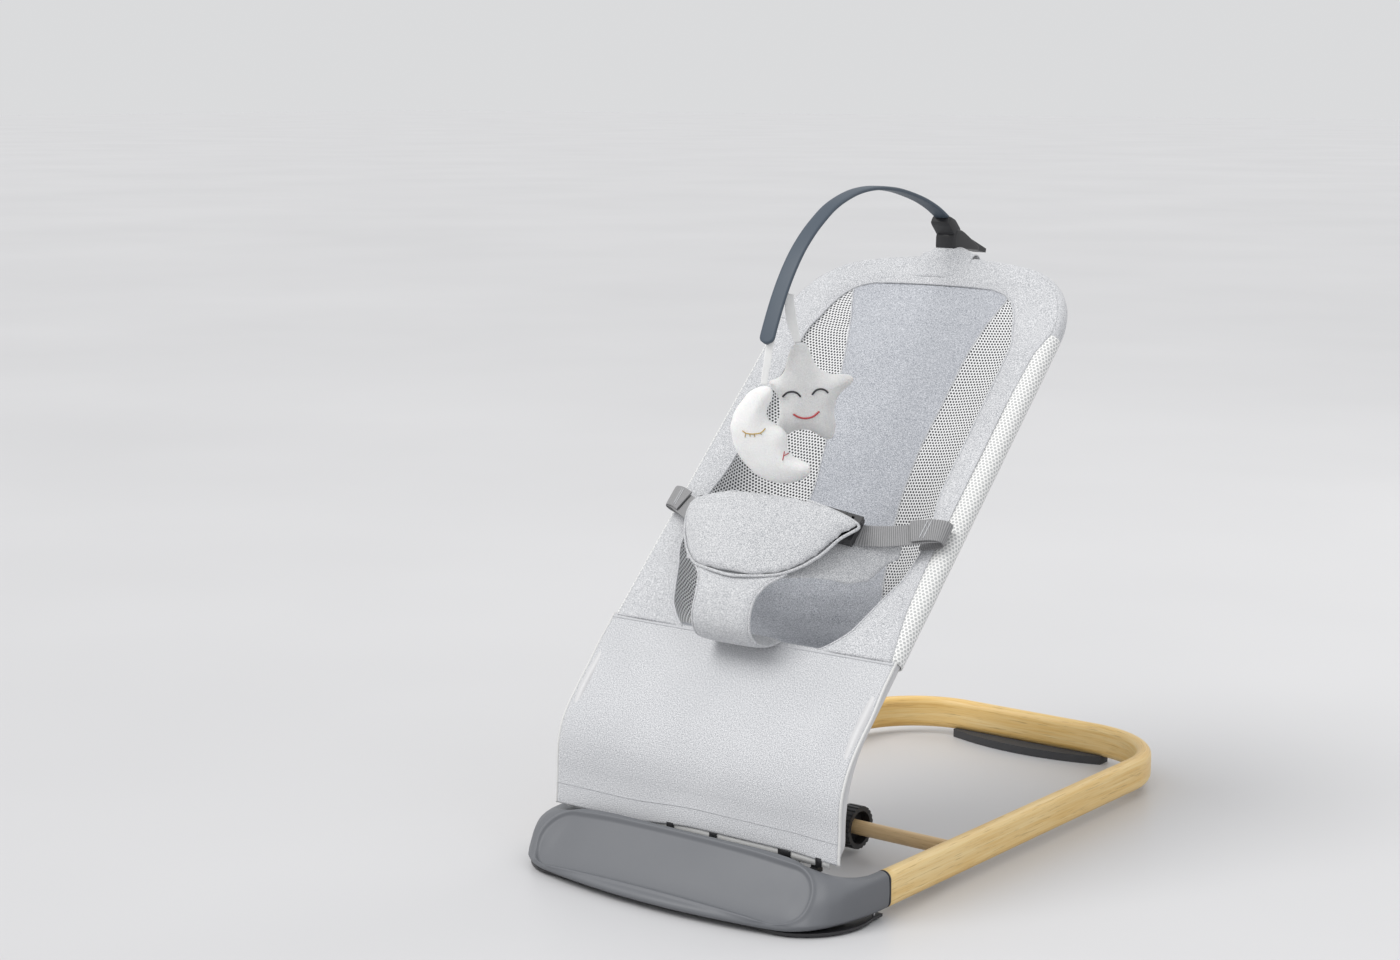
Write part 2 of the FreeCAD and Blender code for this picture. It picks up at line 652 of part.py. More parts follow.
def crotch_strap():
    """Wide strap from the seam up to the belt."""
    inner = [V(-38, 6, 6), V(-38, -20, 38), V(-38, 34, 66)]
    outer = [V(-38, 3, 0.6), V(-38, -27, 40), V(-38, 32, 73)]
    edges = [
        Part.Arc(*inner).toShape(),
        Part.LineSegment(inner[2], outer[2]).toShape(),
        Part.Arc(outer[2], outer[1], outer[0]).toShape(),
        Part.LineSegment(outer[0], inner[0]).toShape(),
    ]
    return on_seat(Part.Face(Part.Wire(edges)).extrude(V(76, 0, 0)))


def belt_frame(shape, x):
    """Turns a piece drawn flat at x = 0 so that it lies on the belt's cylinder at x."""
    radius = BELT_R - BUCKLE_LOW
    tilt = math.degrees(math.asin(x / radius))
    placed = shape.copy()
    placed.translate(V(0, BUCKLE_S, radius))
    placed.rotate(V(0, 0, 0), V(0, 1, 0), tilt)
    placed.translate(V(0, 0, BELT_CENTRE))
    return on_seat(placed)


def buckle_female():
    """Right-hand socket of the side-release buckle."""
    body = box((-26, -17, -5.5), (8, 17, 5.5))
    body = body.makeChamfer(1.8, [e for e in body.Edges if abs(e.tangentAt(e.FirstParameter).x) > 0.9])
    pocket = box((-14, -13.5, -3.2), (9, 13.5, 3.2))
    windows = box((-10, -18, -2.6), (9, 18, 2.6))
    slot = box((-23.5, -13, -6), (-20.5, 13, 6))
    return belt_frame(body.cut(Part.makeCompound([pocket, windows, slot])), BUCKLE_X)


def buckle_male():
    """Right-hand plug of the buckle: head with a webbing slot, a guide and two prongs."""
    head = box((8.6, -17, -5.5), (26, 17, 5.5))
    head = head.makeChamfer(1.8, [e for e in head.Edges if abs(e.tangentAt(e.FirstParameter).x) > 0.9])
    slot = box((15, -13.2, -6), (18, 13.2, 6))
    tongue = box((-12, -2, -2), (9, 2, 2))
    plug = head.cut(slot).fuse(tongue)
    for side in (-1, 1):
        low = 8.2 if side > 0 else -10.6
        plug = plug.fuse(box((-9, low, -2.2), (9, low + 2.4, 2.2)))
    return belt_frame(plug, BUCKLE_X)


def buckle_latch(side):
    """Finger pad of one prong of the right-hand buckle, in the socket's side opening."""
    low = 12.8 if side > 0 else -16.7
    return belt_frame(box((-8.6, low, -2.2), (0.6, low + 3.9, 2.2)), BUCKLE_X)


def webbing():
    """Right-hand webbing from the buckle to the seat's side."""
    start = seat_point(109, BUCKLE_S + 2, 40)
    end = seat_point(167, ANCHOR_S, 13)
    return strip_between(start, end, seat_point(0, 1, 0) - seat_point(0, 0, 0), WEB_WIDE, WEB_THICK)


def webbing_loop():
    """Right-hand folded webbing end, sewn at the seat's side."""
    return on_seat(box((173, ANCHOR_S - 12.5, 0.5), (178.5, ANCHOR_S + 12.5, 17)))


# ---------------------------------------------------------------- toy bar

def arc_point(radius, angle, x=0.0):
    """A point on the toy bar's curve, for an angle from the top."""
    turn = math.radians(angle)
    return V(x, BAR_TOP_Y + radius * math.sin(turn), BAR_TOP_Z - radius * (1 - math.cos(turn)))


REAR_END_ANGLE = 31.0
FRONT_END_ANGLE = -(90 - TIP_ANGLE)


def toy_strap():
    """Flat curved strap of the toy bar, from its socket over to the rounded tip."""
    half = STRAP_THICK / 2
    x = -STRAP_WIDE / 2

    def shifted(radius, angle, offset):
        turn = math.radians(angle)
        return arc_point(radius, angle, x) + V(0, offset * math.sin(turn), offset * math.cos(turn))

    edges = []
    for offset in (half, -half):
        for radius, low, high in ((FRONT_ARC_R, FRONT_END_ANGLE, 0), (REAR_ARC_R, 0, REAR_END_ANGLE)):
            middle = (low + high) / 2
            edges.append(Part.Arc(shifted(radius, low, offset), shifted(radius, middle, offset),
                                  shifted(radius, high, offset)).toShape())
    for radius, angle in ((FRONT_ARC_R, FRONT_END_ANGLE), (REAR_ARC_R, REAR_END_ANGLE)):
        edges.append(Part.LineSegment(shifted(radius, angle, half),
                                      shifted(radius, angle, -half)).toShape())
    face = Part.Face(Part.Wire(Part.__sortEdges__(edges)))
    return face.extrude(V(STRAP_WIDE, 0, 0))


CLAMP_PIVOT = V(0, 420, 647)
JAW_PIVOT = V(0, 449, 637.5)


def toy_clamp():
    """Saddle on the head end, with ears for the bar's hinge and for the jaw."""
    ears = []
    for low, high in ((-12.5, -8.6), (8.6, 12.5)):
        ears.append(prism([V(low, 404, 632), V(low, 409, 655), V(low, 431, 655), V(low, 453, 642),
                           V(low, 453, 634), V(low, 434, 628)], V(high - low, 0, 0)))
    floor = prism([V(-12.5, 404, 632), V(-12.5, 406, 637), V(-12.5, 438, 637), V(-12.5, 441, 634),
                   V(-12.5, 434, 628)], V(25, 0, 0))
    saddle = floor.fuse(ears)
    keep_out = on_seat(outline_face(TUBE_DEEP + 0.2, 100).extrude(V(0, 0, 40)))
    keep_out.translate(seat_point(0, 0, -24) - seat_point(0, 0, 0))
    return saddle.cut(Part.makeCompound([keep_out, clamp_pin(), jaw_pin()]))


def clamp_pin():
    """Hinge pin of the toy bar."""
    return Part.makeCylinder(2.5, 25, CLAMP_PIVOT - V(12.5, 0, 0), X_AXIS)


def jaw_pin():
    """Hinge pin of the clamp's jaw."""
    return Part.makeCylinder(1.5, 25, JAW_PIVOT - V(12.5, 0, 0), X_AXIS)


def arm_socket():
    """Sleeve that holds the strap and turns on the pin between the ears."""
    sleeve = prism([V(-11.5, 391, 667.5), V(-11.5, 396.5, 678.5), V(-11.5, 414, 669.5),
                    V(-11.5, 409, 659)], V(23, 0, 0))
    lug = prism([V(-8.2, 400, 662), V(-8.2, 410, 671), V(-8.2, 427, 655), V(-8.2, 426, 642),
                 V(-8.2, 414, 642)], V(16.4, 0, 0))
    eye = Part.makeCylinder(6.5, 16.4, CLAMP_PIVOT - V(8.2, 0, 0), X_AXIS)
    bore = Part.makeCylinder(2.5 + FIT, 40, CLAMP_PIVOT - V(20, 0, 0), X_AXIS)
    return sleeve.fuse([lug, eye]).cut(Part.makeCompound([bore, toy_strap()]))


def clamp_jaw():
    """Rear jaw of the clamp, a sprung lever between the saddle's ears."""
    jaw = prism([V(-8.2, 444.6, 634), V(-8.2, 445.4, 641.5), V(-8.2, 452, 643), V(-8.2, 485, 630),
                 V(-8.2, 484, 625.5), V(-8.2, 455, 631)], V(16.4, 0, 0))
    return jaw.cut(Part.makeCylinder(1.5 + FIT, 40, JAW_PIVOT - V(20, 0, 0), X_AXIS))


# ---------------------------------------------------------------- toys

def face_view(shape, centre):
    """Turns a toy drawn in the XZ plane to its heading, and puts it in place."""
    placed = shape.copy()
    placed.rotate(V(0, 0, 0), Z_AXIS, TOY_TURN)
    placed.translate(centre)
    return placed


def star_toy():
    """Plush star."""
    points = []
    for corner in range(10):
        radius = 56 if corner % 2 == 0 else 33
        angle = math.radians(90 - 36 * corner + 15)
        points.append(V(radius * math.cos(angle), -12, radius * math.sin(angle)))
    return face_view(prism(points, V(0, 24, 0)), STAR_CENTRE)


def moon_toy():
    """Plush crescent moon."""
    top = V(10, -12, 52)
    tip = V(48, -12, -32)
    edges = [
        Part.Arc(top, V(-36, -12, -4), V(0, -12, -46)).toShape(),
        Part.Arc(V(0, -12, -46), V(30, -12, -53), tip).toShape(),
        Part.Arc(tip, V(8, -12, -14), V(12, -12, 20)).toShape(),
        Part.LineSegment(V(12, -12, 20), top).toShape(),
    ]
    return face_view(Part.Face(Part.Wire(edges)).extrude(V(0, 24, 0)), MOON_CENTRE)


def ribbon(top, bottom):
    """Flat ribbon between two points, in the plane of a toy."""
    across = FreeCAD.Rotation(Z_AXIS, TOY_TURN).multVec(X_AXIS)
    return strip_between(top, bottom, across, 9, 1)


def main():
    os.makedirs("parts", exist_ok=True)
    export("rail_frame", rail_frame())
    export("foot_shell", foot_shell())
    export("foot_base_plate", foot_base_plate())
    export("foot_screws", foot_screws())
    export("foot_pads", foot_pads())
    export("rail_spigots", both_sides(spigot()))
    export("joint_gaskets", both_sides(joint_gasket()))
    export("rear_pad", rear_pad())
    export("rear_pad_screws", rear_pad_screws())
    export("cross_rod", cross_rod())
    export("detent_wheels", detent_wheels())
    export("barrel_upper", barrel_half(True))
    export("barrel_lower", barrel_half(False))
    export_pair("spring_arm", spring_arm())
    export_pair("arm_clamp", arm_clamp())
    export_pair("lock_knob", lock_knob())
    export("seat_hoop", seat_hoop())
    export("front_crossbar", front_crossbar())
    export("crossbar_plugs", both_sides(crossbar_plug()))
    export("hook_clips", hook_clips())
    export("hem_strip", hem_strip())
    export("cover_border", cover_border())
    bucket = bucket_shell()
    wedge = middle_wedge()
    export("bucket_panel", on_seat(bucket.common(wedge)))
    side = bucket.cut(wedge).common(box((0, -10, -120), (200, 520, 20)))
    export_pair("bucket_mesh", on_seat(side))
    export_pair("side_gusset", side_gusset())
    export("cover_back", cover_back())
    export("head_rim", head_rim())
    export("apron_panel", apron_panel())
    export_pair("apron_piping", apron_piping())
    export("crotch_strap", crotch_strap())
    export("belt_panel", belt_panel())
    export("belt_flap", belt_flap())
    export_pair("buckle_female", buckle_female())
    export_pair("buckle_male", buckle_male())
    export_pair("buckle_latch_upper", buckle_latch(1))
    export_pair("buckle_latch_lower", buckle_latch(-1))
    export_pair("webbing", webbing())
    export("webbing_loops", both_sides(webbing_loop()))
    export("toy_clamp", toy_clamp())
    export("clamp_pin", clamp_pin())
    export("jaw_pin", jaw_pin())
    export("clamp_jaw", clamp_jaw())
    export("arm_socket", arm_socket())
    export("toy_strap", toy_strap())
    export("star_toy", star_toy())
    export("moon_toy", moon_toy())
    star_top = STAR_CENTRE + V(-11.4, -8.9, 55)
    export("star_ribbon", ribbon(STAR_HANG - V(0, 0, 3.5), star_top))
    tip = arc_point(FRONT_ARC_R, FRONT_END_ANGLE)
    export("moon_ribbon", ribbon(tip - V(0, 1, 3), MOON_CENTRE + V(0, 0, 53)))


main()
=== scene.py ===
import bpy
import bmesh
import math
import numpy as np
from mathutils import Vector, Matrix, noise


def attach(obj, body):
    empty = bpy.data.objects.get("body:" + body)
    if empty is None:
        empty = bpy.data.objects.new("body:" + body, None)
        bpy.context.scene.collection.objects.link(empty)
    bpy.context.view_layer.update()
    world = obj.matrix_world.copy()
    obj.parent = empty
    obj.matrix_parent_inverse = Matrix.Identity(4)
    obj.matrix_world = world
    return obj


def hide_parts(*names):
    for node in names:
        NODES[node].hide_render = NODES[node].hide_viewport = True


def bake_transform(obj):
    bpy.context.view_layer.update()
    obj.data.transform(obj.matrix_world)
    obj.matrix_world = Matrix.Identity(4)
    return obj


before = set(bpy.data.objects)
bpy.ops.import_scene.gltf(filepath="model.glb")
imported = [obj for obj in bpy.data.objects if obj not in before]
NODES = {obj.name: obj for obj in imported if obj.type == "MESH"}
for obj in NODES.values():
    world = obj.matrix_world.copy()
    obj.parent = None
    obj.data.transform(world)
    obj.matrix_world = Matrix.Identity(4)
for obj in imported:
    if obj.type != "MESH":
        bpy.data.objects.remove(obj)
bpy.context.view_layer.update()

# Local drawing units are millimetres, with y = 0 at the joint of foot and rails.
SHIFT_Y = -248.5
SEAT_TILT = math.radians(45.2)
SEAM_Y, SEAM_Z = 41.0, 248.0
COS, SIN = math.cos(SEAT_TILT), math.sin(SEAT_TILT)
SIDES = (("right", 1), ("left", -1))


def row(p):
    """Points in local millimetres to the row frame in metres."""
    return (np.asarray(p, float) + [0, SHIFT_Y, 0]) / 1000


def to_local(p):
    """Points as (x, along the seat, above it) in mm to local millimetres."""
    x, s, off = np.moveaxis(np.asarray(p, float), -1, 0)
    return np.stack([x, SEAM_Y + s * COS - off * SIN, SEAM_Z + s * SIN + off * COS], axis=-1)


def seat(p):
    """Points as (x, along the seat, above it) in mm to the row frame."""
    return row(to_local(p))


def smooth(x, low, high):
    """0 below low, 1 above high, an even S between."""
    t = np.clip((np.asarray(x, float) - low) / (high - low), 0, 1)
    return t * t * (3 - 2 * t)


def travel(points):
    """Distance along points, from the first to each."""
    return np.concatenate([[0], np.cumsum(np.linalg.norm(np.diff(points, axis=0), axis=1))])


def directions(points):
    """Unit tangent at each point of a line."""
    tangent = np.gradient(np.asarray(points, float), axis=0)
    return tangent / (np.linalg.norm(tangent, axis=1)[:, None] + 1e-12)


def spline(points, count, endpoint=True):
    """Evenly spaced points on a smooth curve (Catmull-Rom) through the given ones."""
    p = np.asarray(points, float)
    ends = np.vstack([2 * p[0] - p[1], p, 2 * p[-1] - p[-2]])
    h = np.linspace(0, 1, 24, endpoint=False)[:, None]
    fine = [0.5 * (2 * b + (c - a) * h + (2 * a - 5 * b + 4 * c - d) * h ** 2
                   + (3 * b - a - 3 * c + d) * h ** 3)
            for a, b, c, d in zip(ends, ends[1:], ends[2:], ends[3:])]
    fine = np.vstack(fine + [p[-1:]])
    run = travel(fine)
    want = np.linspace(0, 1, count, endpoint=endpoint) * run[-1]
    return np.stack([np.interp(want, run, axis) for axis in fine.T], axis=-1)


def wobble(points, scale, amount, seed):
    """Smooth noise of the given size, one value for each point (points in mm)."""
    points = np.asarray(points, float)
    shift = Vector((seed, seed * 1.7, -seed))
    out = [noise.noise(Vector(p) / scale + shift) for p in points.reshape(-1, 3)]
    return np.array(out).reshape(points.shape[:-1]) * amount


def make(name, verts, faces, material, body, replaces=None, slot=None, lay=None):
    """A mesh piece in the row frame, riding on a body; a slot is looked up by its material but not kept."""
    mesh = bpy.data.meshes.new(name)
    mesh.from_pydata([tuple(map(float, v)) for v in verts], [], [tuple(map(int, f)) for f in faces])
    obj = bpy.data.objects.new(name, mesh)
    bpy.context.scene.collection.objects.link(obj)
    mesh.materials.append(material)
    if lay is not None:
        layer = mesh.attributes.new("lay", "FLOAT_VECTOR", "POINT")
        layer.data.foreach_set("vector", np.asarray(lay, np.float32).ravel())
    mesh.polygons.foreach_set("use_smooth", [True] * len(mesh.polygons))
    bm = bmesh.new()
    bm.from_mesh(mesh)
    bmesh.ops.remove_doubles(bm, verts=bm.verts, dist=1e-6)
    bmesh.ops.recalc_face_normals(bm, faces=bm.faces)
    bm.to_mesh(mesh)
    bm.free()
    mesh.update()
    if body:
        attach(obj, body)
    if replaces:
        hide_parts(replaces)
    # Blender adds a number, as in plush_grey.001, to a name that is taken
    slot = slot or SLOTS.get(material.name.split(".")[0])
    return obj


def grid_faces(rows, cols, closed=False, caps=False):
    """Quads of a rows x cols grid; closed joins the last column to the first."""
    faces = []
    for i in range(rows - 1):
        for j in range(cols if closed else cols - 1):
            k = (j + 1) % cols
            faces.append((i * cols + j, i * cols + k, (i + 1) * cols + k, (i + 1) * cols + j))
    if caps:
        faces.append(tuple(range(cols - 1, -1, -1)))
        faces.append(tuple((rows - 1) * cols + j for j in range(cols)))
    return faces


def surface(name, grid, material, body, thick=0.0, closed=False, caps=False, **more):
    """A grid of row-frame points as a piece, made solid if thick (mm) isn't 0."""
    faces = grid_faces(*grid.shape[:2], closed, caps)
    obj = make(name, grid.reshape(-1, 3), faces, material, body, **more)
    if thick:
        solid = obj.modifiers.new("solid", "SOLIDIFY")
        solid.thickness = thick / 1000
        solid.offset = 0
    return obj


def tube(name, path, radius, material, body, sides=10, **more):
    """A round cord of mesh along row-frame points, with closed ends; radius in mm."""
    tangent = directions(path)
    normal = np.cross(tangent[0], [0.3, 0.5, 0.81])
    a = np.linspace(0, 2 * math.pi, sides, endpoint=False)[:, None]
    rings = []
    for p, t in zip(path, tangent):
        normal = normal - t * (normal @ t)
        normal /= np.linalg.norm(normal)
        rings.append(p + radius / 1000 * (np.cos(a) * normal + np.sin(a) * np.cross(t, normal)))
    return surface(name, np.array(rings), material, body, closed=True, caps=True, **more)


# ------------------------------------------------------------------ materials

class Shader:
    """A small helper for building a node material."""

    def __init__(self, name, roughness, **sockets):
        self.material = bpy.data.materials.new(name)
        self.material.use_nodes = True
        self.tree = self.material.node_tree
        self.bsdf = self.tree.nodes["Principled BSDF"]
        self.set("Roughness", roughness)
        for key, value in sockets.items():
            self.set(key.replace("_", " "), value)

    def plug(self, socket, value):
        """Links an output to the socket, or sets its value."""
        if isinstance(value, bpy.types.NodeSocket):
            self.tree.links.new(value, socket)
        else:
            socket.default_value = value

    def set(self, name, value):
        self.plug(self.bsdf.inputs[name], value)

    def node(self, kind, out=0, props=None, **inputs):
        """A node's output; inputs go by name, or by number as i0, i1 and so on."""
        n = self.tree.nodes.new(kind)
        for key, value in (props or {}).items():
            setattr(n, key, value)
        for key, value in inputs.items():
            self.plug(n.inputs[int(key[1:]) if key[1:].isdigit() else key], value)
        return n.outputs[out]

    def math(self, op, a, b=0.0):
        return self.node("ShaderNodeMath", props={"operation": op}, i0=a, i1=b, i2=0.0)

    def total(self, a, share_a, b, share_b):
        return self.math("ADD", self.math("MULTIPLY", a, share_a), self.math("MULTIPLY", b, share_b))

    def span(self, value, low, high, start, end):
        """Maps low..high to start..end."""
        return self.node("ShaderNodeMapRange", Value=value, i1=low, i2=high, i3=start, i4=end)

    def place(self, scale=(1, 1, 1), over="object"):
        """Scaled coordinates in metres: the object's, those of the seat's plane, or the piece's lay."""
        if over == "lay":
            source = self.node("ShaderNodeAttribute", 1, {"attribute_name": "lay"})
        else:
            source = self.node("ShaderNodeTexCoord", 3)
        tilt = -SEAT_TILT if over == "seat" else 0.0
        turned = self.node("ShaderNodeMapping", Vector=source, Rotation=(tilt, 0, 0))
        return self.node("ShaderNodeMapping", Vector=turned, Scale=scale)

    def noise(self, vector, scale, detail=2.0, rough=0.5):
        return self.node("ShaderNodeTexNoise", Vector=vector, Scale=scale, Detail=detail, Roughness=rough)

    def ramp(self, fac, stops):
        n = self.tree.nodes.new("ShaderNodeValToRGB")
        while len(n.color_ramp.elements) < len(stops):
            n.color_ramp.elements.new(0.5)
        for e, (pos, colour) in zip(n.color_ramp.elements, stops):
            e.position = pos
            e.color = (*colour, 1)
        self.plug(n.inputs[0], fac)
        return n.outputs[0]

    def mix(self, fac, a, b):
        n = self.tree.nodes.new("ShaderNodeMix")
        n.data_type = "RGBA"
        for k, value in ((0, fac), (6, a), (7, b)):
            self.plug(n.inputs[k], (*value, 1) if isinstance(value, tuple) else value)
        return n.outputs[2]

    def bump(self, height, strength, distance):
        self.set("Normal", self.node("ShaderNodeBump", Height=height, Strength=strength, Distance=distance))


def shade(colour, factor, lift=0.0):
    """A colour made darker or paler."""
    return tuple(min(1, c * factor + lift) for c in colour)


def heather(name, light, dark, over="seat", contrast=2.6):
    """Heather cloth: two thread directions of mottled yarn."""
    s = Shader(name, 0.85, Sheen_Weight=0.25, Sheen_Roughness=0.5, Specular_IOR_Level=0.25)
    across, along = (s.noise(s.place(size, over), 1.0, 2.5, 0.6)
                     for size in ((680, 1500, 1500), (1500, 680, 1500)))
    yarn = s.total(across, 0.55, along, 0.45)
    broad = s.noise(s.place((9, 9, 9), over), 1.0, 3.0)
    tone = s.math("ADD", s.math("MULTIPLY", s.math("SUBTRACT", yarn, 0.5), 2.3 * contrast),
                  s.math("ADD", 0.35, s.math("MULTIPLY", broad, 0.3)))
    middle = tuple((a + b) / 2 for a, b in zip(light, dark))
    s.set("Base Color", s.ramp(tone, [(0.12, dark), (0.5, middle), (0.9, light)]))
    place = s.place((1, 1, 1), over)
    weft, warp = (s.node("ShaderNodeTexWave", 1, {"bands_direction": direction}, Vector=place, Scale=150.0)
                  for direction in "XY")
    s.bump(s.total(s.math("MULTIPLY", weft, warp), 0.5, yarn, 1.2), 0.5, 0.0006)
    return s.material


def mesh_cloth(name, yarn, hole_shade, pitch, soft=0.05, over="lay"):
    """Open-hole mesh: a hexagonal lattice of holes in pale knit, pitch in mm; the holes carry painted shade,
    a dark colour for what is seen through them.
    """
    s = Shader(name, 0.8, Sheen_Weight=0.2, Sheen_Roughness=0.5, Specular_IOR_Level=0.3)
    base = s.place((1000 / pitch,) * 3, over)
    parts = s.tree.nodes.new("ShaderNodeSeparateXYZ")
    s.plug(parts.inputs[0], base)
    turn, slant = 2 * math.pi, 0.57735
    u = s.math("MULTIPLY", parts.outputs[0], turn)
    v = s.math("MULTIPLY", parts.outputs[1], turn * slant)
    level = s.math("MULTIPLY", parts.outputs[1], turn * 2 * slant)
    waves = [s.math("COSINE", way) for way in (level, s.math("ADD", u, v), s.math("SUBTRACT", u, v))]
    lattice = s.math("ADD", waves[0], s.math("ADD", waves[1], waves[2]))
    opening = s.span(lattice, -0.1, 0.7, 0.0, 1.0)
    fuzz = s.noise(base, 3.0)
    # the openings take the hole colour: painted shade in place of what lies behind the mesh
    s.set("Base Color", s.mix(s.math("MULTIPLY", fuzz, soft), s.mix(opening, yarn, hole_shade), (0.3, 0.3, 0.3)))
    s.bump(s.math("SUBTRACT", s.math("MULTIPLY", fuzz, 0.2), opening), 0.8, 0.0012)
    return s.material


def moulded(name, colour, rough, grain, bump, speck, edge):
    """Moulded plastic: fine spark texture, faint cloudiness, paler convex edges."""
    s = Shader(name, rough, Specular_IOR_Level=0.45)
    place = s.place()
    fine = s.noise(place, grain, 3.0, 0.65)
    cloud = s.noise(place, 14.0, 4.0)
    # convex edges, found by pointiness, are made paler by up to edge
    pale_edge = s.span(s.node("ShaderNodeNewGeometry", 7), 0.52, 0.62, 0.0, edge)
    tint = s.mix(s.math("MULTIPLY", cloud, speck * 4), colour, shade(colour, 1.35, 0.01))
    s.set("Base Color", s.mix(pale_edge, tint, shade(colour, 1.8, 0.03)))
    s.set("Roughness", s.span(cloud, 0.3, 0.7, rough - 0.05, rough + 0.06))
    s.bump(fine, bump, 0.0002)
    return s.material


def timber(name, pale, mid, dark, over, along):
    """Lacquered oak: long grain lines, pores and slow colour drift, along one axis."""
    s = Shader(name, 0.42, Coat_Weight=0.18, Coat_Roughness=0.3, Specular_IOR_Level=0.4)

    def grain(across, length, detail, rough):
        scale = [across] * 3
        scale[along] = length
        return s.noise(s.place(scale, over), 1.0, detail, rough)

    bands = grain(60.0, 2.2, 5.0, 0.62)
    lines = grain(420.0, 13.0, 3.0, 0.6)
    pores = grain(966.0, 29.9, 2.0, 0.5)
    drift = grain(5.0, 5.0, 2.0, 0.5)
    tone = s.math("ADD", s.total(bands, 0.6, lines, 0.52),
                  s.math("MULTIPLY", s.math("SUBTRACT", drift, 0.5), 0.22))
    dots = s.span(pores, 0.60, 0.72, 0.0, 0.55)
    colour = s.ramp(tone, [(0.30, dark), (0.48, mid), (0.72, pale)])
    s.set("Base Color", s.mix(dots, colour, shade(dark, 0.62)))
    s.set("Roughness", s.span(lines, 0.3, 0.7, 0.36, 0.52))
    s.bump(s.math("SUBTRACT", lines, dots), 0.22, 0.0004)
    return s.material


def metal(name, colour, rough, metallic=1.0, brush=0.15):
    """Drawn steel, plated or painted, with faint streaks."""
    s = Shader(name, rough, Metallic=metallic)
    streak = s.noise(s.place((30, 900, 900)), 1.0, 3.0)
    spot = s.noise(s.place(), 60.0, 3.0)
    s.set("Base Color", s.mix(s.math("MULTIPLY", spot, 0.35), colour, shade(colour, 0.72)))
    s.set("Roughness", s.span(streak, 0.3, 0.7, rough - 0.07, rough + 0.1))
    s.bump(streak, brush, 0.0001)
    return s.material


def grosgrain(name, colour, pale, pitch):
    """Ribbed tape or webbing: ribs across its length with a herringbone of yarn."""
    s = Shader(name, 0.7, Sheen_Weight=0.2, Sheen_Roughness=0.4, Specular_IOR_Level=0.35)
    rib = s.node("ShaderNodeTexWave", 1, Vector=s.place((1, 1, 1), "lay"), Scale=314.0 / pitch,
                 Distortion=0.4, Detail=2.0)
    tone = s.total(rib, 0.5, s.noise(s.place((2600, 700, 900), "lay"), 1.0), 0.5)
    s.set("Base Color", s.ramp(tone, [(0.2, colour), (0.75, pale)]))
    s.bump(tone, 0.7, 0.0006)
    return s.material


def plush(name, colour, dark):
    """Short plush: soft fibres over gentle lumps."""
    s = Shader(name, 0.95, Sheen_Weight=0.6, Sheen_Roughness=0.6, Specular_IOR_Level=0.15,
               Subsurface_Weight=0.08, Subsurface_Scale=0.004)
    place = s.place()
    fibres = s.noise(place, 700.0, 4.0, 0.7)
    lumps = s.noise(place, 60.0, 3.0)
    s.set("Base Color", s.ramp(s.total(fibres, 0.7, lumps, 0.4), [(0.3, dark), (0.65, colour)]))
    s.bump(s.math("ADD", fibres, s.math("MULTIPLY", lumps, 0.8)), 0.9, 0.0012)
    return s.material


def thread(name, colour):
    """Sewing or embroidery thread with a twist."""
    s = Shader(name, 0.55, Sheen_Weight=0.3, Sheen_Roughness=0.4)
    twist = s.noise(s.place(), 1400.0)
    s.set("Base Color", s.mix(twist, colour, shade(colour, 0.6)))
    s.bump(twist, 0.6, 0.0003)
    return s.material


HEATHER_LIGHT, HEATHER_DARK = (0.73, 0.735, 0.75), (0.35, 0.36, 0.38)
CLOTH = heather("cloth_heather", HEATHER_LIGHT, HEATHER_DARK)
CLOTH_APRON = heather("cloth_apron", HEATHER_LIGHT, HEATHER_DARK, "lay")
CLOTH_PADDED = heather("cloth_padded", (0.70, 0.705, 0.715), (0.33, 0.34, 0.36))
# The bucket's cloth is the heather in darker, bluer colours: painted shade for the hollow of the bucket.
CLOTH_BUCKET_SHADED = heather("cloth_bucket", (0.62, 0.635, 0.67), (0.28, 0.295, 0.33), contrast=2.8)
# The second colour of each mesh is painted shade in its holes.
MESH = mesh_cloth("cloth_mesh", (0.80, 0.805, 0.81), (0.04, 0.042, 0.046), 3.9)
MESH_BACK = mesh_cloth("cloth_mesh_back", (0.55, 0.56, 0.57), (0.20, 0.21, 0.22), 3.4, 0.16, "seat")
SPACER = mesh_cloth("cloth_spacer", (0.86, 0.86, 0.85), (0.52, 0.53, 0.53), 4.2, 0.03)
TRIM = thread("trim_white", (0.82, 0.82, 0.81))
STITCH = thread("stitch_grey", (0.62, 0.63, 0.65))
DARK_THREAD = thread("stitch_dark", (0.03, 0.03, 0.035))
RED_THREAD = thread("stitch_red", (0.55, 0.06, 0.07))
GOLD_THREAD = thread("stitch_gold", (0.62, 0.42, 0.12))
RIBBON = grosgrain("ribbon_white", (0.86, 0.86, 0.85), (0.95, 0.95, 0.94), 1.0)
WEBBING = grosgrain("webbing_grey", (0.16, 0.16, 0.165), (0.34, 0.34, 0.345), 2.2)
FOOT = moulded("plastic_slate", (0.132, 0.138, 0.150), 0.52, 1500.0, 0.3, 0.03, 0.15)
BLACK = moulded("plastic_black", (0.016, 0.016, 0.018), 0.42, 1300.0, 0.3, 0.05, 0.2)
RUBBER = moulded("rubber_dark", (0.045, 0.046, 0.05), 0.78, 900.0, 0.5, 0.1, 0.1)
WHITE_STRIP = moulded("plastic_white", (0.74, 0.74, 0.73), 0.45, 1400.0, 0.2, 0.03, 0.0)
BAR = moulded("bar_slate", (0.055, 0.075, 0.10), 0.5, 1100.0, 0.35, 0.05, 0.1)
WOOD = timber("wood_rail", (0.86, 0.66, 0.33), (0.76, 0.50, 0.17), (0.57, 0.32, 0.09), "lay", 1)
WOOD_ROD = timber("wood_rod", (0.80, 0.58, 0.32), (0.68, 0.46, 0.23), (0.52, 0.33, 0.15), "object", 0)
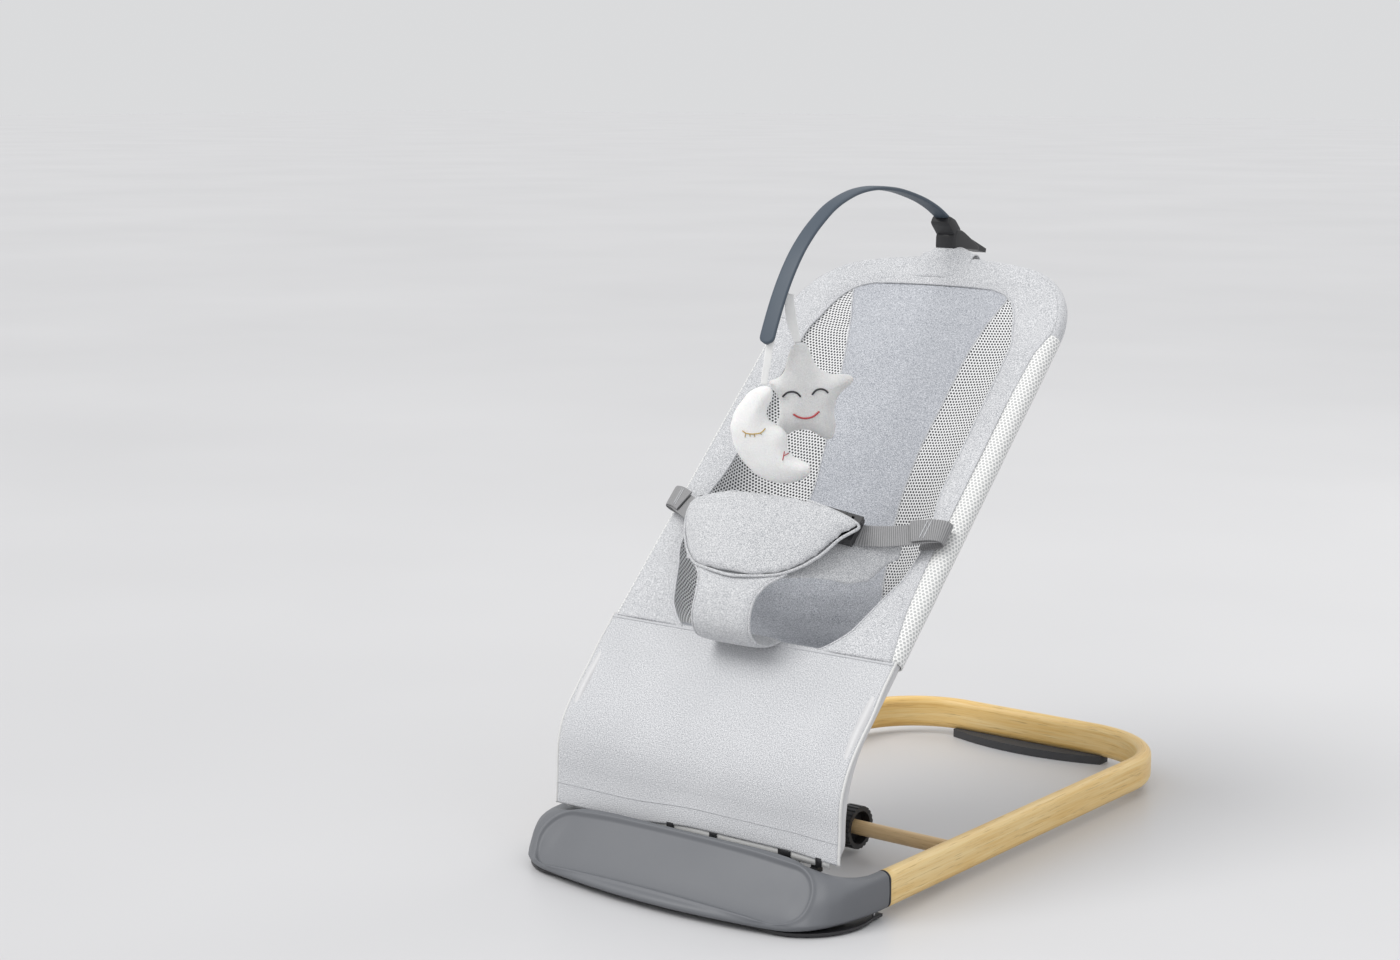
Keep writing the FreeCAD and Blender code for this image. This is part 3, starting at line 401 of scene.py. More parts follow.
STEEL = metal("steel_plated", (0.55, 0.55, 0.56), 0.32)
COATED = metal("steel_coated", (0.60, 0.60, 0.61), 0.42, 0.0, 0.05)
PLUSH_WHITE = plush("plush_white", (0.95, 0.95, 0.94), (0.84, 0.84, 0.83))
PLUSH_GREY = plush("plush_grey", (0.78, 0.78, 0.775), (0.58, 0.58, 0.58))

# The record's slot for each material; the toys' faces have none.
SLOTS = {"cloth_heather": "heather_cloth", "cloth_apron": "heather_cloth", "cloth_padded": "heather_cloth",
         "cloth_bucket": "heather_cloth", "cloth_mesh": "mesh_cloth", "cloth_mesh_back": "mesh_cloth",
         "cloth_spacer": "white_mesh", "trim_white": "white_trim", "plastic_white": "white_trim",
         "ribbon_white": "plush_white", "webbing_grey": "webbing", "plastic_slate": "foot_plastic",
         "plastic_black": "black_plastic", "bar_slate": "toy_bar", "wood_rail": "rail_wood",
         "plush_white": "plush_white", "plush_grey": "plush_grey"}


def paint(material, *names):
    """A better material on CAD nodes that stay, with slightly eased edges."""
    for n in names:
        obj = NODES[n]
        obj.data.materials.clear()
        obj.data.materials.append(material)
        ease = obj.modifiers.new("ease", "BEVEL")
        ease.width = 0.0005
        ease.segments = 2
        ease.limit_method = "ANGLE"
        ease.angle_limit = math.radians(35)
        ease.harden_normals = False


paint(BLACK, "foot_base_plate", "barrel_upper", "barrel_lower", "hook_clips", "crossbar_plugs",
      "rail_spigots", "clamp_jaw", "detent_wheels",
      *[n + "_" + side for side, _ in SIDES for n in
        ("lock_knob", "arm_clamp", "buckle_female", "buckle_male", "buckle_latch_upper",
         "buckle_latch_lower")])
paint(STEEL, "foot_screws", "rear_pad_screws", "clamp_pin", "jaw_pin", "spring_arm_left",
      "spring_arm_right")
paint(COATED, "seat_hoop", "front_crossbar")
paint(RUBBER, "foot_pads", "rear_pad", "joint_gaskets")
paint(WOOD_ROD, "cross_rod")


# ------------------------------------------------------------------ rail

RAIL_X, RAIL_BACK, RAIL_BEND, RAIL_Z = 200, 625, 109, 27.5
OVAL_R, OVAL_FLAT = 9, 10.5     # radius of the section's round ends, half of its flat sides


def rail():
    """Flat-oval rail swept along its U, with grain that follows the bend."""
    corner_x, corner_y = RAIL_X - RAIL_BEND, RAIL_BACK - RAIL_BEND
    path = [(RAIL_X, y, 0.0) for y in np.linspace(1.5, corner_y, 60)]
    path += [(corner_x + RAIL_BEND * math.cos(a), corner_y + RAIL_BEND * math.sin(a), a)
             for a in np.linspace(0, math.pi / 2, 40)[1:]]
    path += [(x, RAIL_BACK, math.pi / 2) for x in np.linspace(corner_x, 0, 12)[1:]]
    path += [(-x, y, math.pi - a) for x, y, a in path[-2::-1]]
    path = np.array(path)
    half_turn = np.linspace(0, math.pi, 15)
    section = [(OVAL_R * math.cos(a), end * OVAL_FLAT + OVAL_R * math.sin(a))
               for end, angles in ((1, half_turn), (-1, half_turn + math.pi)) for a in angles]
    grid, lay = [], []
    for (x, y, a), run in zip(path, travel(path[:, :2])):
        grid.append([(x + math.cos(a) * u, y + math.sin(a) * u, RAIL_Z + v) for u, v in section])
        lay.append([(0.3 + u / 1000, run / 1000, v / 1000) for u, v in section])
    surface("base_rail", row(grid), WOOD, "base", closed=True, caps=True, replaces="rail_frame", lay=lay)


rail()


# ------------------------------------------------------------------ foot

def foot_line(points):
    """Half of the foot's plan, resampled, softened and mirrored."""
    points = np.array(points, float)
    t = np.linspace(0, 1, 110) ** 0.92
    line = np.stack([np.interp(t, np.linspace(0, 1, len(points)), axis) for axis in points.T], -1)
    for _ in range(6):
        line[1:-1] = (line[:-2] + 2 * line[1:-1] + line[2:]) / 4
    return np.vstack([line, line[-2::-1] * [-1, 1]])


def foot_section(points):
    """A closed section with four times the points, softened."""
    ring = np.linspace(0, len(points), len(points) * 4, endpoint=False)
    closed = np.vstack([points, points[:1]])
    out = np.stack([np.interp(ring, np.arange(len(closed)), axis) for axis in closed.T], -1)
    for _ in range(3):
        out = (np.roll(out, 1, 0) + 2 * out + np.roll(out, -1, 0)) / 4
    return out


def foot():
    """Front foot: a section that changes from the rail's oval to the wide slanted panel."""
    outer = foot_line([(209, 0), (209, -12), (208.8, -26), (207.5, -48), (203.8, -72), (196, -93),
                       (184, -107.5), (167, -116), (150, -120), (120, -126.5), (80, -132.4), (40, -136),
                       (0, -137)])
    inner = foot_line([(191, 0), (191, -10), (189.8, -20), (186.5, -32), (181, -43), (172, -51.5),
                       (161, -56.5), (149, -59), (138, -59.5), (112, -60), (76, -60.3), (38, -60.5),
                       (0, -60.5)])
    count = len(outer)
    part = np.minimum(np.arange(count), count - 1 - np.arange(count)) / ((count - 1) // 2)
    # panel section: (share from inner to outer, height), clockwise from the back's lower edge
    panel = np.array([(0, 5), (0, 30), (0, 52), (0.01, 59), (0.035, 63.5), (0.07, 65.6), (0.11, 66),
                      (0.15, 65),
                      (0.19, 62.6), (0.24, 59), (0.32, 53.2), (0.42, 46), (0.52, 38.8), (0.62, 31.8),
                      (0.72, 25.4), (0.82, 20.2), (0.90, 17.4), (0.955, 15.8), (0.985, 13.6), (0.995, 10.8),
                      (0.975, 8.2), (0.92, 6.2), (0.84, 5), (0.5, 5)])
    neck = []
    for k in range(len(panel)):
        a = math.pi - k / len(panel) * 2 * math.pi
        v = math.sin(a)
        flat = math.copysign(OVAL_FLAT, v) * min(1, abs(v) * 3)
        neck.append((0.5 + 0.5 * math.cos(a), RAIL_Z + flat + OVAL_R * v))
    neck = np.array(neck)
    # the neck's points start at its lower inner corner, as the panel's do
    start = int(np.argmin(np.hypot(neck[:, 0] * 60, neck[:, 1] - 8)))
    panel, neck = foot_section(panel), foot_section(np.roll(neck, -start, axis=0))
    grid = []
    for i, share in enumerate(part):
        w = float(smooth(share, 0.10, 0.66))
        drop = 1 - 0.10 * (1 - float(smooth(share, 0.50, 0.80)))
        section = neck * (1 - w) + (panel * [1, drop]) * w
        plan = inner[i] + (outer[i] - inner[i]) * section[:, :1]
        grid.append(np.column_stack([plan, section[:, 1]]))
    grid = np.array(grid)
    # inset field with a raised bead round it, on the slanted face
    ridge_y, ridge_z, field_x, field_half, field_mid = -66, 64, 175, 33, 41
    x, y, z = np.moveaxis(grid, -1, 0)
    along = np.clip(np.abs(x) - (field_x - field_half), 0, None)
    edge = np.hypot(along, np.hypot(y - ridge_y, z - ridge_z) - field_mid) - field_half
    inset = (1 - smooth(edge, -2.2, 0.6)) * 1.9
    bead = np.exp(-((edge - 1.6) / 1.8) ** 2) * 1.7
    slanted = (y < ridge_y) & (z > 13)
    push = np.where(slanted, bead - inset, 0.0) * smooth(part, 0.30, 0.42)[:, None]
    slope = math.atan2(50, 76)
    grid = grid + push[..., None] * [0, -math.sin(slope), math.cos(slope)]
    obj = surface("front_foot", row(grid), FOOT, "base", closed=True, caps=True, replaces="foot_shell")
    sub = obj.modifiers.new("sub", "SUBSURF")
    sub.levels = sub.render_levels = 1


foot()


# ------------------------------------------------------------------ seat cover

TUBE_X, SEAT_LONG, TUBE_DEEP = 176.0, 535.0, 9.3
SHOULDER_R, TOP_R = 85.0, 546.0
SIDE_N, SHOULDER_N, TOP_N = 110, 34, 41
CORNER_S = 440                  # where the bucket's rim starts to turn in
MIRROR = [-1, 1]


def outline():
    """Centreline of the hoop seen square on: points and outward normals, right seam to left seam."""
    width = TUBE_X - SHOULDER_R
    top = SEAT_LONG - TUBE_DEEP
    base = top - TOP_R + math.sqrt((TOP_R - SHOULDER_R) ** 2 - width ** 2)
    turn = math.atan2(base - top + TOP_R, width)
    shoulder = np.linspace(0, turn, SHOULDER_N, endpoint=False)
    arch = np.linspace(turn, math.pi / 2, TOP_N)
    angles = np.concatenate([np.zeros(SIDE_N), shoulder, arch])
    nrm = np.stack([np.cos(angles), np.sin(angles)], -1)
    side = [(TUBE_X, s) for s in np.linspace(0, base, SIDE_N, endpoint=False)]
    pts = np.vstack([side, (width, base) + SHOULDER_R * nrm[SIDE_N:SIDE_N + SHOULDER_N],
                     (0, top - TOP_R) + TOP_R * nrm[-TOP_N:]])
    pts[-1, 0] = 0
    return np.vstack([pts, pts[-2::-1] * MIRROR]), np.vstack([nrm, nrm[-2::-1] * MIRROR])


OUT, NORMAL = outline()
BASE_S = OUT[SIDE_N, 1]

# The bucket's wall: (along the seat, half-width, depth)
BUCKET = [(0, 88, 1.5), (4, 94, 12), (12, 103, 38), (26, 115, 59), (38, 121, 67), (55, 128, 72),
          (75, 136, 77),
          (96, 146, 77), (118, 150, 75), (140, 151, 73), (175, 147, 67), (210, 140.5, 58), (290, 139, 37),
          (370, 137.5, 19), (410, 136, 10), (430, 129.5, 7), (460, 117, 3.5)]
WALL = spline(BUCKET, 400)
WALL = WALL[np.argsort(WALL[:, 0])]


def stations(s):
    """Half-width and depth of the bucket at places along the seat."""
    return np.interp(s, WALL[:, 0], WALL[:, 1]), np.interp(s, WALL[:, 0], WALL[:, 2])


def inner_outline():
    """The bucket's rim, matched point for point with the outline."""
    side_s = OUT[:SIDE_N, 1] * (CORNER_S / BASE_S)
    side = np.stack([stations(side_s)[0], side_s], -1)
    corner = spline([(side[-1, 0] - 0.8, CORNER_S), (121.5, 452), (115.5, 463), (107, 474), (94, 482.5),
                     (78, 487.5)], SHOULDER_N, endpoint=False)
    across = np.linspace(78, 0, TOP_N)
    top = np.stack([across, 487.5 + 2.5 * (1 - (across / 78) ** 2)], -1)
    pts = np.vstack([side, corner, top])
    return np.vstack([pts, pts[-2::-1] * MIRROR])


RIM = inner_outline()


def wrap_profile(n):
    """Section of the sleeve round the tube, from the front boundary to the back: (outward, off)."""
    return spline([(-9.0, 0.35), (-4.5, 0.5), (0, 0.35), (3.6, -0.6), (6.9, -3.0), (9.0, -6.6), (9.4, -10.4),
                   (7.8, -14.6), (4.6, -17.6), (0.6, -18.9), (-4.0, -18.6), (-8.0, -17.4)], n)


def sleeve_front(x, s):
    """How far outside the hoop's centreline the front band ends: white mesh starts there."""
    bare = np.interp(s, [0, 20, 60, 110, 330, 400, 428], [3.5, 0, -6.5, -9.5, -9.5, -6, 2.6])
    return np.where(x > 0, bare, 2.6)


def border():
    """Front band of heather cloth between the rim and the sleeve round the tube."""
    share = np.linspace(0, 1, 17)
    reach = sleeve_front(*OUT.T)
    front = OUT + reach[:, None] * NORMAL
    lip = np.interp(reach, [-9, -4.5, 0, 3.6, 6.9], [0.35, 0.5, 0.35, -0.6, -3.0])
    grid = []
    for f in share:
        # the band rolls gently into the bucket and is a little proud by its middle
        off = -1.7 * (1 - smooth(f, 0, 0.3)) + lip * f ** 3 + 0.9 * math.sin(math.pi * f) ** 0.8
        grid.append(np.column_stack([RIM + (front - RIM) * f, off]))
    grid = np.array(grid)
    grid[..., 2] += wobble(grid, 42, 1.0, 3.1) * np.sin(math.pi * share)[:, None] * 1.6
    return surface("cover_front_band", seat(grid), CLOTH, "seat", thick=1.4, replaces="cover_border")


def sleeve(side, sign):
    """White spacer mesh round the outer side of one tube."""
    profile = wrap_profile(300)
    places = np.linspace(2, 428, 120)
    grid, lay = [], []
    for s, reach in zip(places, sleeve_front(sign, places) - 0.8):
        first = int(np.argmax(profile[:, 0] >= reach))
        p = profile[np.linspace(first, 299, 17).astype(int)]
        p[:, 1] -= 0.3 * np.linspace(1, 0, 17)
        ripple = wobble(np.column_stack([p, np.full(17, s * 0.9)]), 30, 0.7, 8.0)
        grid.append(np.column_stack([sign * (TUBE_X + p[:, 0] + ripple * 0.5), np.full(17, s), p[:, 1]]))
        lay.append(np.column_stack([travel(p[::-1])[::-1], np.full(17, s), np.zeros(17)]) / 1000)
    return surface("side_sleeve_" + side, seat(grid), SPACER, "seat", thick=1.3,
                   replaces="side_gusset_" + side, lay=lay)


def head_sleeve():
    """Rim of heather cloth round the top of the hoop."""
    profile = wrap_profile(15)
    profile[:, 0] *= np.where(profile[:, 0] < 0, 0.3, 0.9)
    profile[:, 1] -= 0.5 * np.linspace(1, 0, 15) ** 2
    profile = np.vstack([profile, [(-6, -18.0)]])
    first = int(SIDE_N * 426 / BASE_S)
    grid = np.array([[(*(c + n * u), v) for u, v in profile]
                     for c, n in zip(OUT[first:len(OUT) - first], NORMAL[first:len(OUT) - first])])
    grid[..., 2] += wobble(grid, 35, 0.8, 5.0)
    return surface("head_sleeve", seat(grid), CLOTH, "seat", thick=1.4, replaces="head_rim")


def dress(points):
    """Soft folds in the bucket: long ones from the belt's anchors, small ones everywhere."""
    folds = wobble(points * [1, 0.55, 1], 46, 2.6, 1.3) + wobble(points, 19, 0.7, 2.2)
    folds += wobble(points * [0.5, 1.6, 1], 30, 3.0, 7.3) * (1 - smooth(points[..., 1], 60, 200))
    points = points.copy()
    points[..., 2] += folds * smooth(-points[..., 2], 3, 20)
    return points


def bucket():
    """Hanging bucket: a middle panel of cloth between two mesh sides."""
    mid_n, wall_n, power = 61, 31, 2.5
    low_s = np.concatenate([np.linspace(0, 40, 26, endpoint=False),
                            np.linspace(40, CORNER_S, 120, endpoint=False)])
    rows = [(s, *stations(s)) for s in low_s]
    # above the corner the rows follow the rim's turn up to its straight top
    rows += [(s, x, np.interp(s, [440, 455, 470, 488], [5.4, 3.8, 2.6, 1.5]))
             for x, s in RIM[SIDE_N:SIDE_N + SHOULDER_N]]
    rows = np.array(rows + [(489.5, 74, 1.2)])
    panel_half = np.interp(rows[:, 0], [0, 40, 80, 130, 180, 230, 280, 340, 400, 435, 474],
                           [98, 100, 92, 74, 62, 58, 61, 70, 80, 89, 103])
    for _ in range(10):
        panel_half[1:-1] = (panel_half[:-2] + panel_half[1:-1] + panel_half[2:]) / 3
    panel_half = np.minimum(panel_half, rows[:, 1] - 0.6)

    def section(x, s, h, d):
        off = -1.7 - d * (1 - np.clip(np.abs(x) / h, 0, 1) ** power) ** (1 / power)
        return np.column_stack([x, np.full(len(x), s), off])

    mid, wall, lay = [], [], []
    for (s, h, d), p in zip(rows, panel_half):
        mid.append(section(np.linspace(-p, p, mid_n), s, h, d))
        # even steps along the curved wall
        dense = p + (h - p) * (1 - (1 - np.linspace(0, 1, 300)) ** 3)
        run = travel(section(dense, s, h, d))
        wall.append(section(np.interp(np.linspace(0, run[-1], wall_n), run, dense), s, h, d))
        lay.append(np.column_stack([np.linspace(run[-1], 0, wall_n), np.full(wall_n, s), np.zeros(wall_n)]))
    mid, wall, lay = dress(np.array(mid)), np.array(wall), np.array(lay) / 1000
    # the middle panel takes the heather with painted shade
    panel = surface("bucket_middle", seat(mid), CLOTH_BUCKET_SHADED, "seat", thick=1.4, replaces="bucket_panel")
    for side, sign in SIDES:
        net = surface("bucket_side_" + side, seat(dress(wall * [sign, 1, 1])), MESH, "seat", thick=1.2,
                      replaces="bucket_mesh_" + side, lay=lay)
    # welts over the seams between panel and mesh, and round the rim
    for side, col in (("right", -1), ("left", 0)):
        tube("seam_panel_" + side, seat(mid[:, col] + [0, 0, 0.5]), 1.1, CLOTH, "seat")
    tube("seam_rim", seat(np.column_stack([RIM, np.full(len(RIM), -1.0)])), 1.2, CLOTH, "seat")


def back_pocket():
    """Mesh pocket behind the head end."""
    first = int(SIDE_N * 418 / BASE_S)
    ring = OUT[first:len(OUT) - first] - NORMAL[first:len(OUT) - first] * 7
    low = np.column_stack([ring[:, 0], np.full(len(ring), 415.0)])
    grid = np.array([np.column_stack([low + (ring - low) * f,
                                      np.full(len(ring), -17.6 - 0.5 * math.sin(math.pi * f))])
                     for f in np.linspace(0, 1, 12)])
    grid[..., 2] += wobble(grid, 40, 0.8, 6.0)
    return surface("head_pocket", seat(grid), MESH_BACK, "seat", thick=1.2, replaces="cover_back")


BAND = border()
for (which, way), width in zip(SIDES, (0.060, 0.044)):
    sleeve(which, way)
head_sleeve()
bucket()
back_pocket()


APRON_HALF = 183.5


def apron():
    """Front apron over the curved tube down to the hem, with white edge pipings."""
    profile = [(43, 248.6), (30, 235), (18, 222.4), (2, 203), (-14, 185.6), (-25, 172.8), (-35, 160.5),
               (-43.2, 147.6), (-50, 130.4), (-52.6, 112), (-52.6, 92), (-52.0, 74), (-51.8, 58.4)]
    rows, cols = 110, 90
    line = spline(profile, rows)
    out = directions(line)[:, ::-1] * MIRROR
    out *= np.sign(-out[:, :1] + 1e-9)
    x = np.linspace(-APRON_HALF, APRON_HALF, cols)
    hem_rise = 7.5 * smooth(x, -95, 10) * (1 - 0.45 * smooth(x, 120, 184))
    dish = 1.2 * np.cos(x / APRON_HALF * math.pi / 2)
    grid, lay = [], []
    for i, ((y, z), run) in enumerate(zip(line, travel(line))):
        pts = np.column_stack([x, np.full(cols, y), np.full(cols, z)])
        swell = (wobble(pts * [0.6, 1, 1], 60, 1.6, 4.4) - dish) * math.sin(math.pi * i / (rows - 1))
        pts[:, 1:] += swell[:, None] * out[i]
        pts[:, 2] += hem_rise * float(smooth(i, 0.72 * rows, rows - 1))
        pts[:, 1] -= 2.6 * float(smooth(i, 0.8 * rows, rows - 1))
        grid.append(pts)
        lay.append(np.column_stack([x, np.full(cols, run), np.zeros(cols)]) / 1000)
    grid = np.array(grid)
    cloth = surface("apron_front", row(grid), CLOTH_APRON, "seat", thick=1.4, replaces="apron_panel", lay=lay)
    for side, col, sign in (("right", -1, 1), ("left", 0, -1)):
        tube("apron_edge_" + side, row(grid[:, col] + [sign * 0.6, 0, 0]), 1.5, TRIM, "seat",
             replaces="apron_piping_" + side)
    tube("seam_front", row(grid[2] + [0, -0.8, 0.6]), 1.0, CLOTH_APRON, "seat")
    tube("hem_stitch", row(grid[-12] + [0, -0.9, 0]), 0.45, STITCH, "seat", slot="heather_cloth")
    strip = [[(along, -53.3, z) for along in np.linspace(-172, 172, 80)] for z in (57.0, 63.0, 68.5)]
    surface("hem_band", row(strip), WHITE_STRIP, "seat", thick=1.0, replaces="hem_strip")
    for k, (middle, wide) in enumerate(((-28, 9), (28, 9), (118, 15), (160, 7))):
        clip = [[(middle + end * wide / 2, y, z) for end in (-1, 1)]
                for y, z in ((-50, 67.6), (-53.6, 67.4), (-54.6, 65.6), (-54.6, 57))]
        surface("hem_clip_%d" % k, row(clip), BLACK, "seat", thick=1.2)


apron()


# ------------------------------------------------------------------ belt

def puff(obj, cap, pressure, voxel, frames):
    """Swells a closed mesh with the cloth solver, each point by up to cap (m), and applies the result."""
    bpy.context.view_layer.update()
    remesh = obj.modifiers.new("remesh", "REMESH")
    remesh.mode = "VOXEL"
    remesh.voxel_size = voxel
    bpy.context.view_layer.objects.active = obj
    depsgraph = bpy.context.evaluated_depsgraph_get()
    mesh = bpy.data.meshes.new_from_object(obj.evaluated_get(depsgraph))
    obj.modifiers.clear()
    material = obj.data.materials[0]
    obj.data = mesh
    mesh.materials.clear()
    mesh.materials.append(material)
    start = np.array([v.co for v in mesh.vertices])
    cloth = obj.modifiers.new("cloth", "CLOTH")
    cloth.settings.use_pressure = True
    cloth.settings.uniform_pressure_force = pressure
    cloth.settings.effector_weights.gravity = 0
    cloth.settings.tension_stiffness = 15
    cloth.settings.compression_stiffness = 15
    cloth.settings.bending_stiffness = 0.5
    cloth.point_cache.frame_start = 1
    cloth.point_cache.frame_end = frames
    for f in range(1, frames + 1):
        bpy.context.scene.frame_set(f)
    depsgraph = bpy.context.evaluated_depsgraph_get()
    done = obj.evaluated_get(depsgraph).to_mesh()
    move = np.array([v.co for v in done.vertices]) - start
    obj.evaluated_get(depsgraph).to_mesh_clear()
    obj.modifiers.clear()
    size = np.linalg.norm(move, axis=1)[:, None]
    move *= np.minimum(1, cap / np.maximum(size, 1e-9))
    mesh.vertices.foreach_set("co", (start + move).astype(np.float32).ravel())
    bpy.context.scene.frame_set(1)
    mesh.polygons.foreach_set("use_smooth", [True] * len(mesh.polygons))
    soft = obj.modifiers.new("soft", "SMOOTH")
    soft.factor = 0.5
    soft.iterations = 4
    sub = obj.modifiers.new("sub", "SUBSURF")
    sub.levels = sub.render_levels = 1


FLAP_LOW, FLAP_TOP = 30.0, 130.5
BOW_OFF, FLAP_BOW, PANEL_BOW = -228, 306, 286      # the belt is bowed round an axis along the seat


def flap_outline(s, sign=1):
    """Half-width of the padded flap along the seat, on the right (sign 1) or left (-1)."""
    if sign > 0:
        return np.interp(s, [30, 33, 40, 50, 58, 72, 83, 97, 111, 117, 120, 124.5, 127.5, 129.5, 130.5],
                         [10, 28, 51, 66, 75, 87, 93, 99, 108.5, 112.5, 108, 88, 66, 42, 20])
    return np.interp(s, [30, 33, 39, 48, 58, 77, 95, 108, 116, 120, 123, 126, 128.5, 130.5],
                     [10, 30, 55, 67, 77.5, 91, 100, 105, 104.5, 99, 90, 70, 46, 20])


def belt_off(x, s):
    """Height of the flap's middle above the seat plane; its lower end leans in."""
    bow = BOW_OFF + np.sqrt(np.maximum(FLAP_BOW ** 2 - np.asarray(x, float) ** 2, 1))
    return bow - 8 * (1 - smooth(s, 34, 96)) + 2.0


def flap():
    """Padded flap: a crowned closed pad whose lower corners are round."""
    rows, cols, rim = 46, 64, 9
    u = np.linspace(-1, 1, cols)
    front, back = [], []
    for s in np.linspace(FLAP_LOW, FLAP_TOP, rows):
        half = flap_outline(s)
        x = u * np.where(u > 0, half, flap_outline(s, -1))
        edge = np.minimum(1, np.minimum((1 - np.abs(u)) * half, min(s - FLAP_LOW, FLAP_TOP - s)) / rim)
        crown = np.sqrt(1 - (1 - np.clip(edge, 0, 1)) ** 2)
        mid = belt_off(x, s)
        front.append(np.column_stack([x, np.full(cols, s), mid + 0.4 + 4.4 * crown]))
        back.append(np.column_stack([x, np.full(cols, s), mid - 0.4 - 2.6 * crown]))
    n = rows * cols
    faces = grid_faces(rows, cols)
    faces += [tuple(n + k for k in f[::-1]) for f in faces]
    ring = list(range(cols)) + [i * cols + cols - 1 for i in range(1, rows)]
    ring += [(rows - 1) * cols + j for j in range(cols - 2, -1, -1)]
    ring += [i * cols for i in range(rows - 2, 0, -1)]
    faces += [(a, b, n + b, n + a) for a, b in zip(ring, ring[1:] + ring[:1])]
    obj = make("belt_flap_pad", seat(front + back).reshape(-1, 3), faces, CLOTH_PADDED, "flap",
               replaces="belt_flap")
    puff(obj, 0.003, 3.0, 0.0035, 12)
    # piping along the sides and the round bottom
    down = np.linspace(FLAP_TOP - 1.5, FLAP_LOW, 60)
    path = [(flap_outline(s) + 0.6, s) for s in down]
    path += [(x, FLAP_LOW - 0.6) for x in np.linspace(8, -8, 5)]
    path = np.array(path + [(-flap_outline(s, -1) - 0.6, s) for s in down[::-1]])
    for _ in range(3):
        path[1:-1] = (path[:-2] + path[1:-1] + path[2:]) / 3
    tube("belt_flap_piping", seat(np.column_stack([path, belt_off(*path.T)])), 1.7, CLOTH_PADDED, "flap")


flap()


def strap_solid(name, left, right, normal, thick, replaces):
    """A padded strap with a lens-shaped section, between two edges in seat millimetres."""
    power = 2.6
    u = np.linspace(-1, 1, 25)
    crown = ((1 - np.abs(u) ** power) ** (1 / power) * thick / 2 + 0.25)[:, None]
    grid = []
    for a, b, n in zip(left, right, normal):
        mid = a + (b - a) * ((u + 1) / 2)[:, None]
        grid.append(np.vstack([mid + n * crown, (mid - n * crown)[::-1]]))
    obj = surface(name, seat(grid), CLOTH_PADDED, "seat", closed=True, caps=True, replaces=replaces)


def crotch():
    """Crotch strap: out of the seam, up over the gap and behind the flap, wider at the top."""
    count = 60
    line = spline([(1, 1.5), (-9, 9), (-18, 20), (-22.5, 33), (-19, 47), (-9, 57), (5, 63.5), (18, 66),
                   (32, 66),
                   (45, 65)], count)
    half = np.interp(np.linspace(0, 1, count), [0, 0.12, 0.4, 0.66, 0.76, 0.87, 1],
                     [40.5, 39, 36.5, 36, 38, 44, 60])
    right = np.column_stack([half, line])
    left = right * [-1, 1, 1]
    normal = np.column_stack([np.zeros(count), directions(line)[:, ::-1] * MIRROR])
    strap_solid("crotch_strap_pad", left, right, normal, 6.0, "crotch_strap")
    for side, edge, sign in (("left", left, -1), ("right", right, 1)):
        tube("crotch_piping_" + side, seat(edge + [sign * 0.5, 0, 0]), 1.5, CLOTH_PADDED, "seat")


crotch()


def wings():
    """Belt panel behind the flap, with a wing to each side that runs down to the bucket."""
    x = np.linspace(-140, 140, 90)
    a = np.abs(x)
    high = np.column_stack([x, np.interp(a, [0, 80, 110, 140], [122, 122, 126, 132]),
                            BOW_OFF + np.sqrt(PANEL_BOW ** 2 - x * x)])
    low = np.column_stack([x, np.interp(a, [0, 36, 48, 61, 78, 94, 105, 118, 129, 140],
                                        [38, 38, 42, 47, 55, 61, 67, 81, 106, 113]),
                           np.interp(a, [0, 36, 61, 78, 94, 105, 118, 129, 140],
                                     [62, 61, 55, 48, 39, 26, 14, 12, 13])])
    normal = np.cross(np.column_stack([np.ones(90), np.zeros(90), -x / PANEL_BOW]), high - low)
    normal /= np.linalg.norm(normal, axis=1)[:, None]
    strap_solid("belt_wings", low, high, normal, 4.0, "belt_panel")


wings()


def flat_strap(name, centre, across, width, thick, material, body, **more):
    """A flat strap along points in local mm, with rounded edges; lay runs along its length."""
    half = np.asarray(width, float) / 2 * np.ones(len(centre))
    turns = [2 * math.pi * j / 28 for j in range(28)]
    grid, lay = [], []
    for p, tangent, run, h in zip(centre, directions(centre), travel(centre), half):
        a = across - tangent * (across @ tangent)
        a /= np.linalg.norm(a)
        n = np.cross(tangent, a)
        section = [(math.copysign(abs(math.cos(t)) ** 0.35, math.cos(t)) * h,
                    math.copysign(abs(math.sin(t)) ** 0.6, math.sin(t)) * thick / 2) for t in turns]
        grid.append([p + a * u + n * v for u, v in section])
        lay.append([(run / 1000, u / 1000, v / 1000) for u, v in section])
    return surface(name, row(grid), material, body, closed=True, caps=True, lay=lay, **more)


def harness():
    """Webbing from each plug to the seat's side, with its folded and sewn end."""
    up = np.array([0, COS, SIN])
    for side, sign in SIDES:
        line = spline([(101, 117.5, 43.5), (109, 119, 40), (128, 127, 31.5), (150, 138, 24), (166, 146, 19.5),
                       (174.5, 149.5, 17)], 60)
        line = to_local(line * [sign, 1, 1])
        strap = flat_strap("belt_webbing_" + side, line, up, 24.5, 1.5, WEBBING, None,
                           replaces="webbing_" + side)
        loop = spline([(148, 139.5, 27.5), (158, 144.5, 24.5), (168, 148.5, 21.5), (176.5, 150.5, 18.5),
                       (181, 151, 14), (180, 151, 8.5), (173, 150, 4.6), (162, 148.5, 3.2),
                       (148, 146, 2.8)], 60)
        flat_strap("belt_loop_" + side, to_local(loop * [sign, 1, 1]), up, 25.5, 1.6, WEBBING, "seat",
                   replaces="webbing_loops" if side == "right" else None)
        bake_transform(strap)
        for k in (0, 1):
            bar = [(sign * (160 + 3.5 * k), 145.5 + 1.4 * k + j, 24.9 - 1.1 * k)
                   for j in np.linspace(-11, 11, 12)]
            tube("belt_bartack_%s_%d" % (side, k), seat(bar), 0.55, STITCH, "seat", slot="webbing")


harness()


# ------------------------------------------------------------------ toy bar

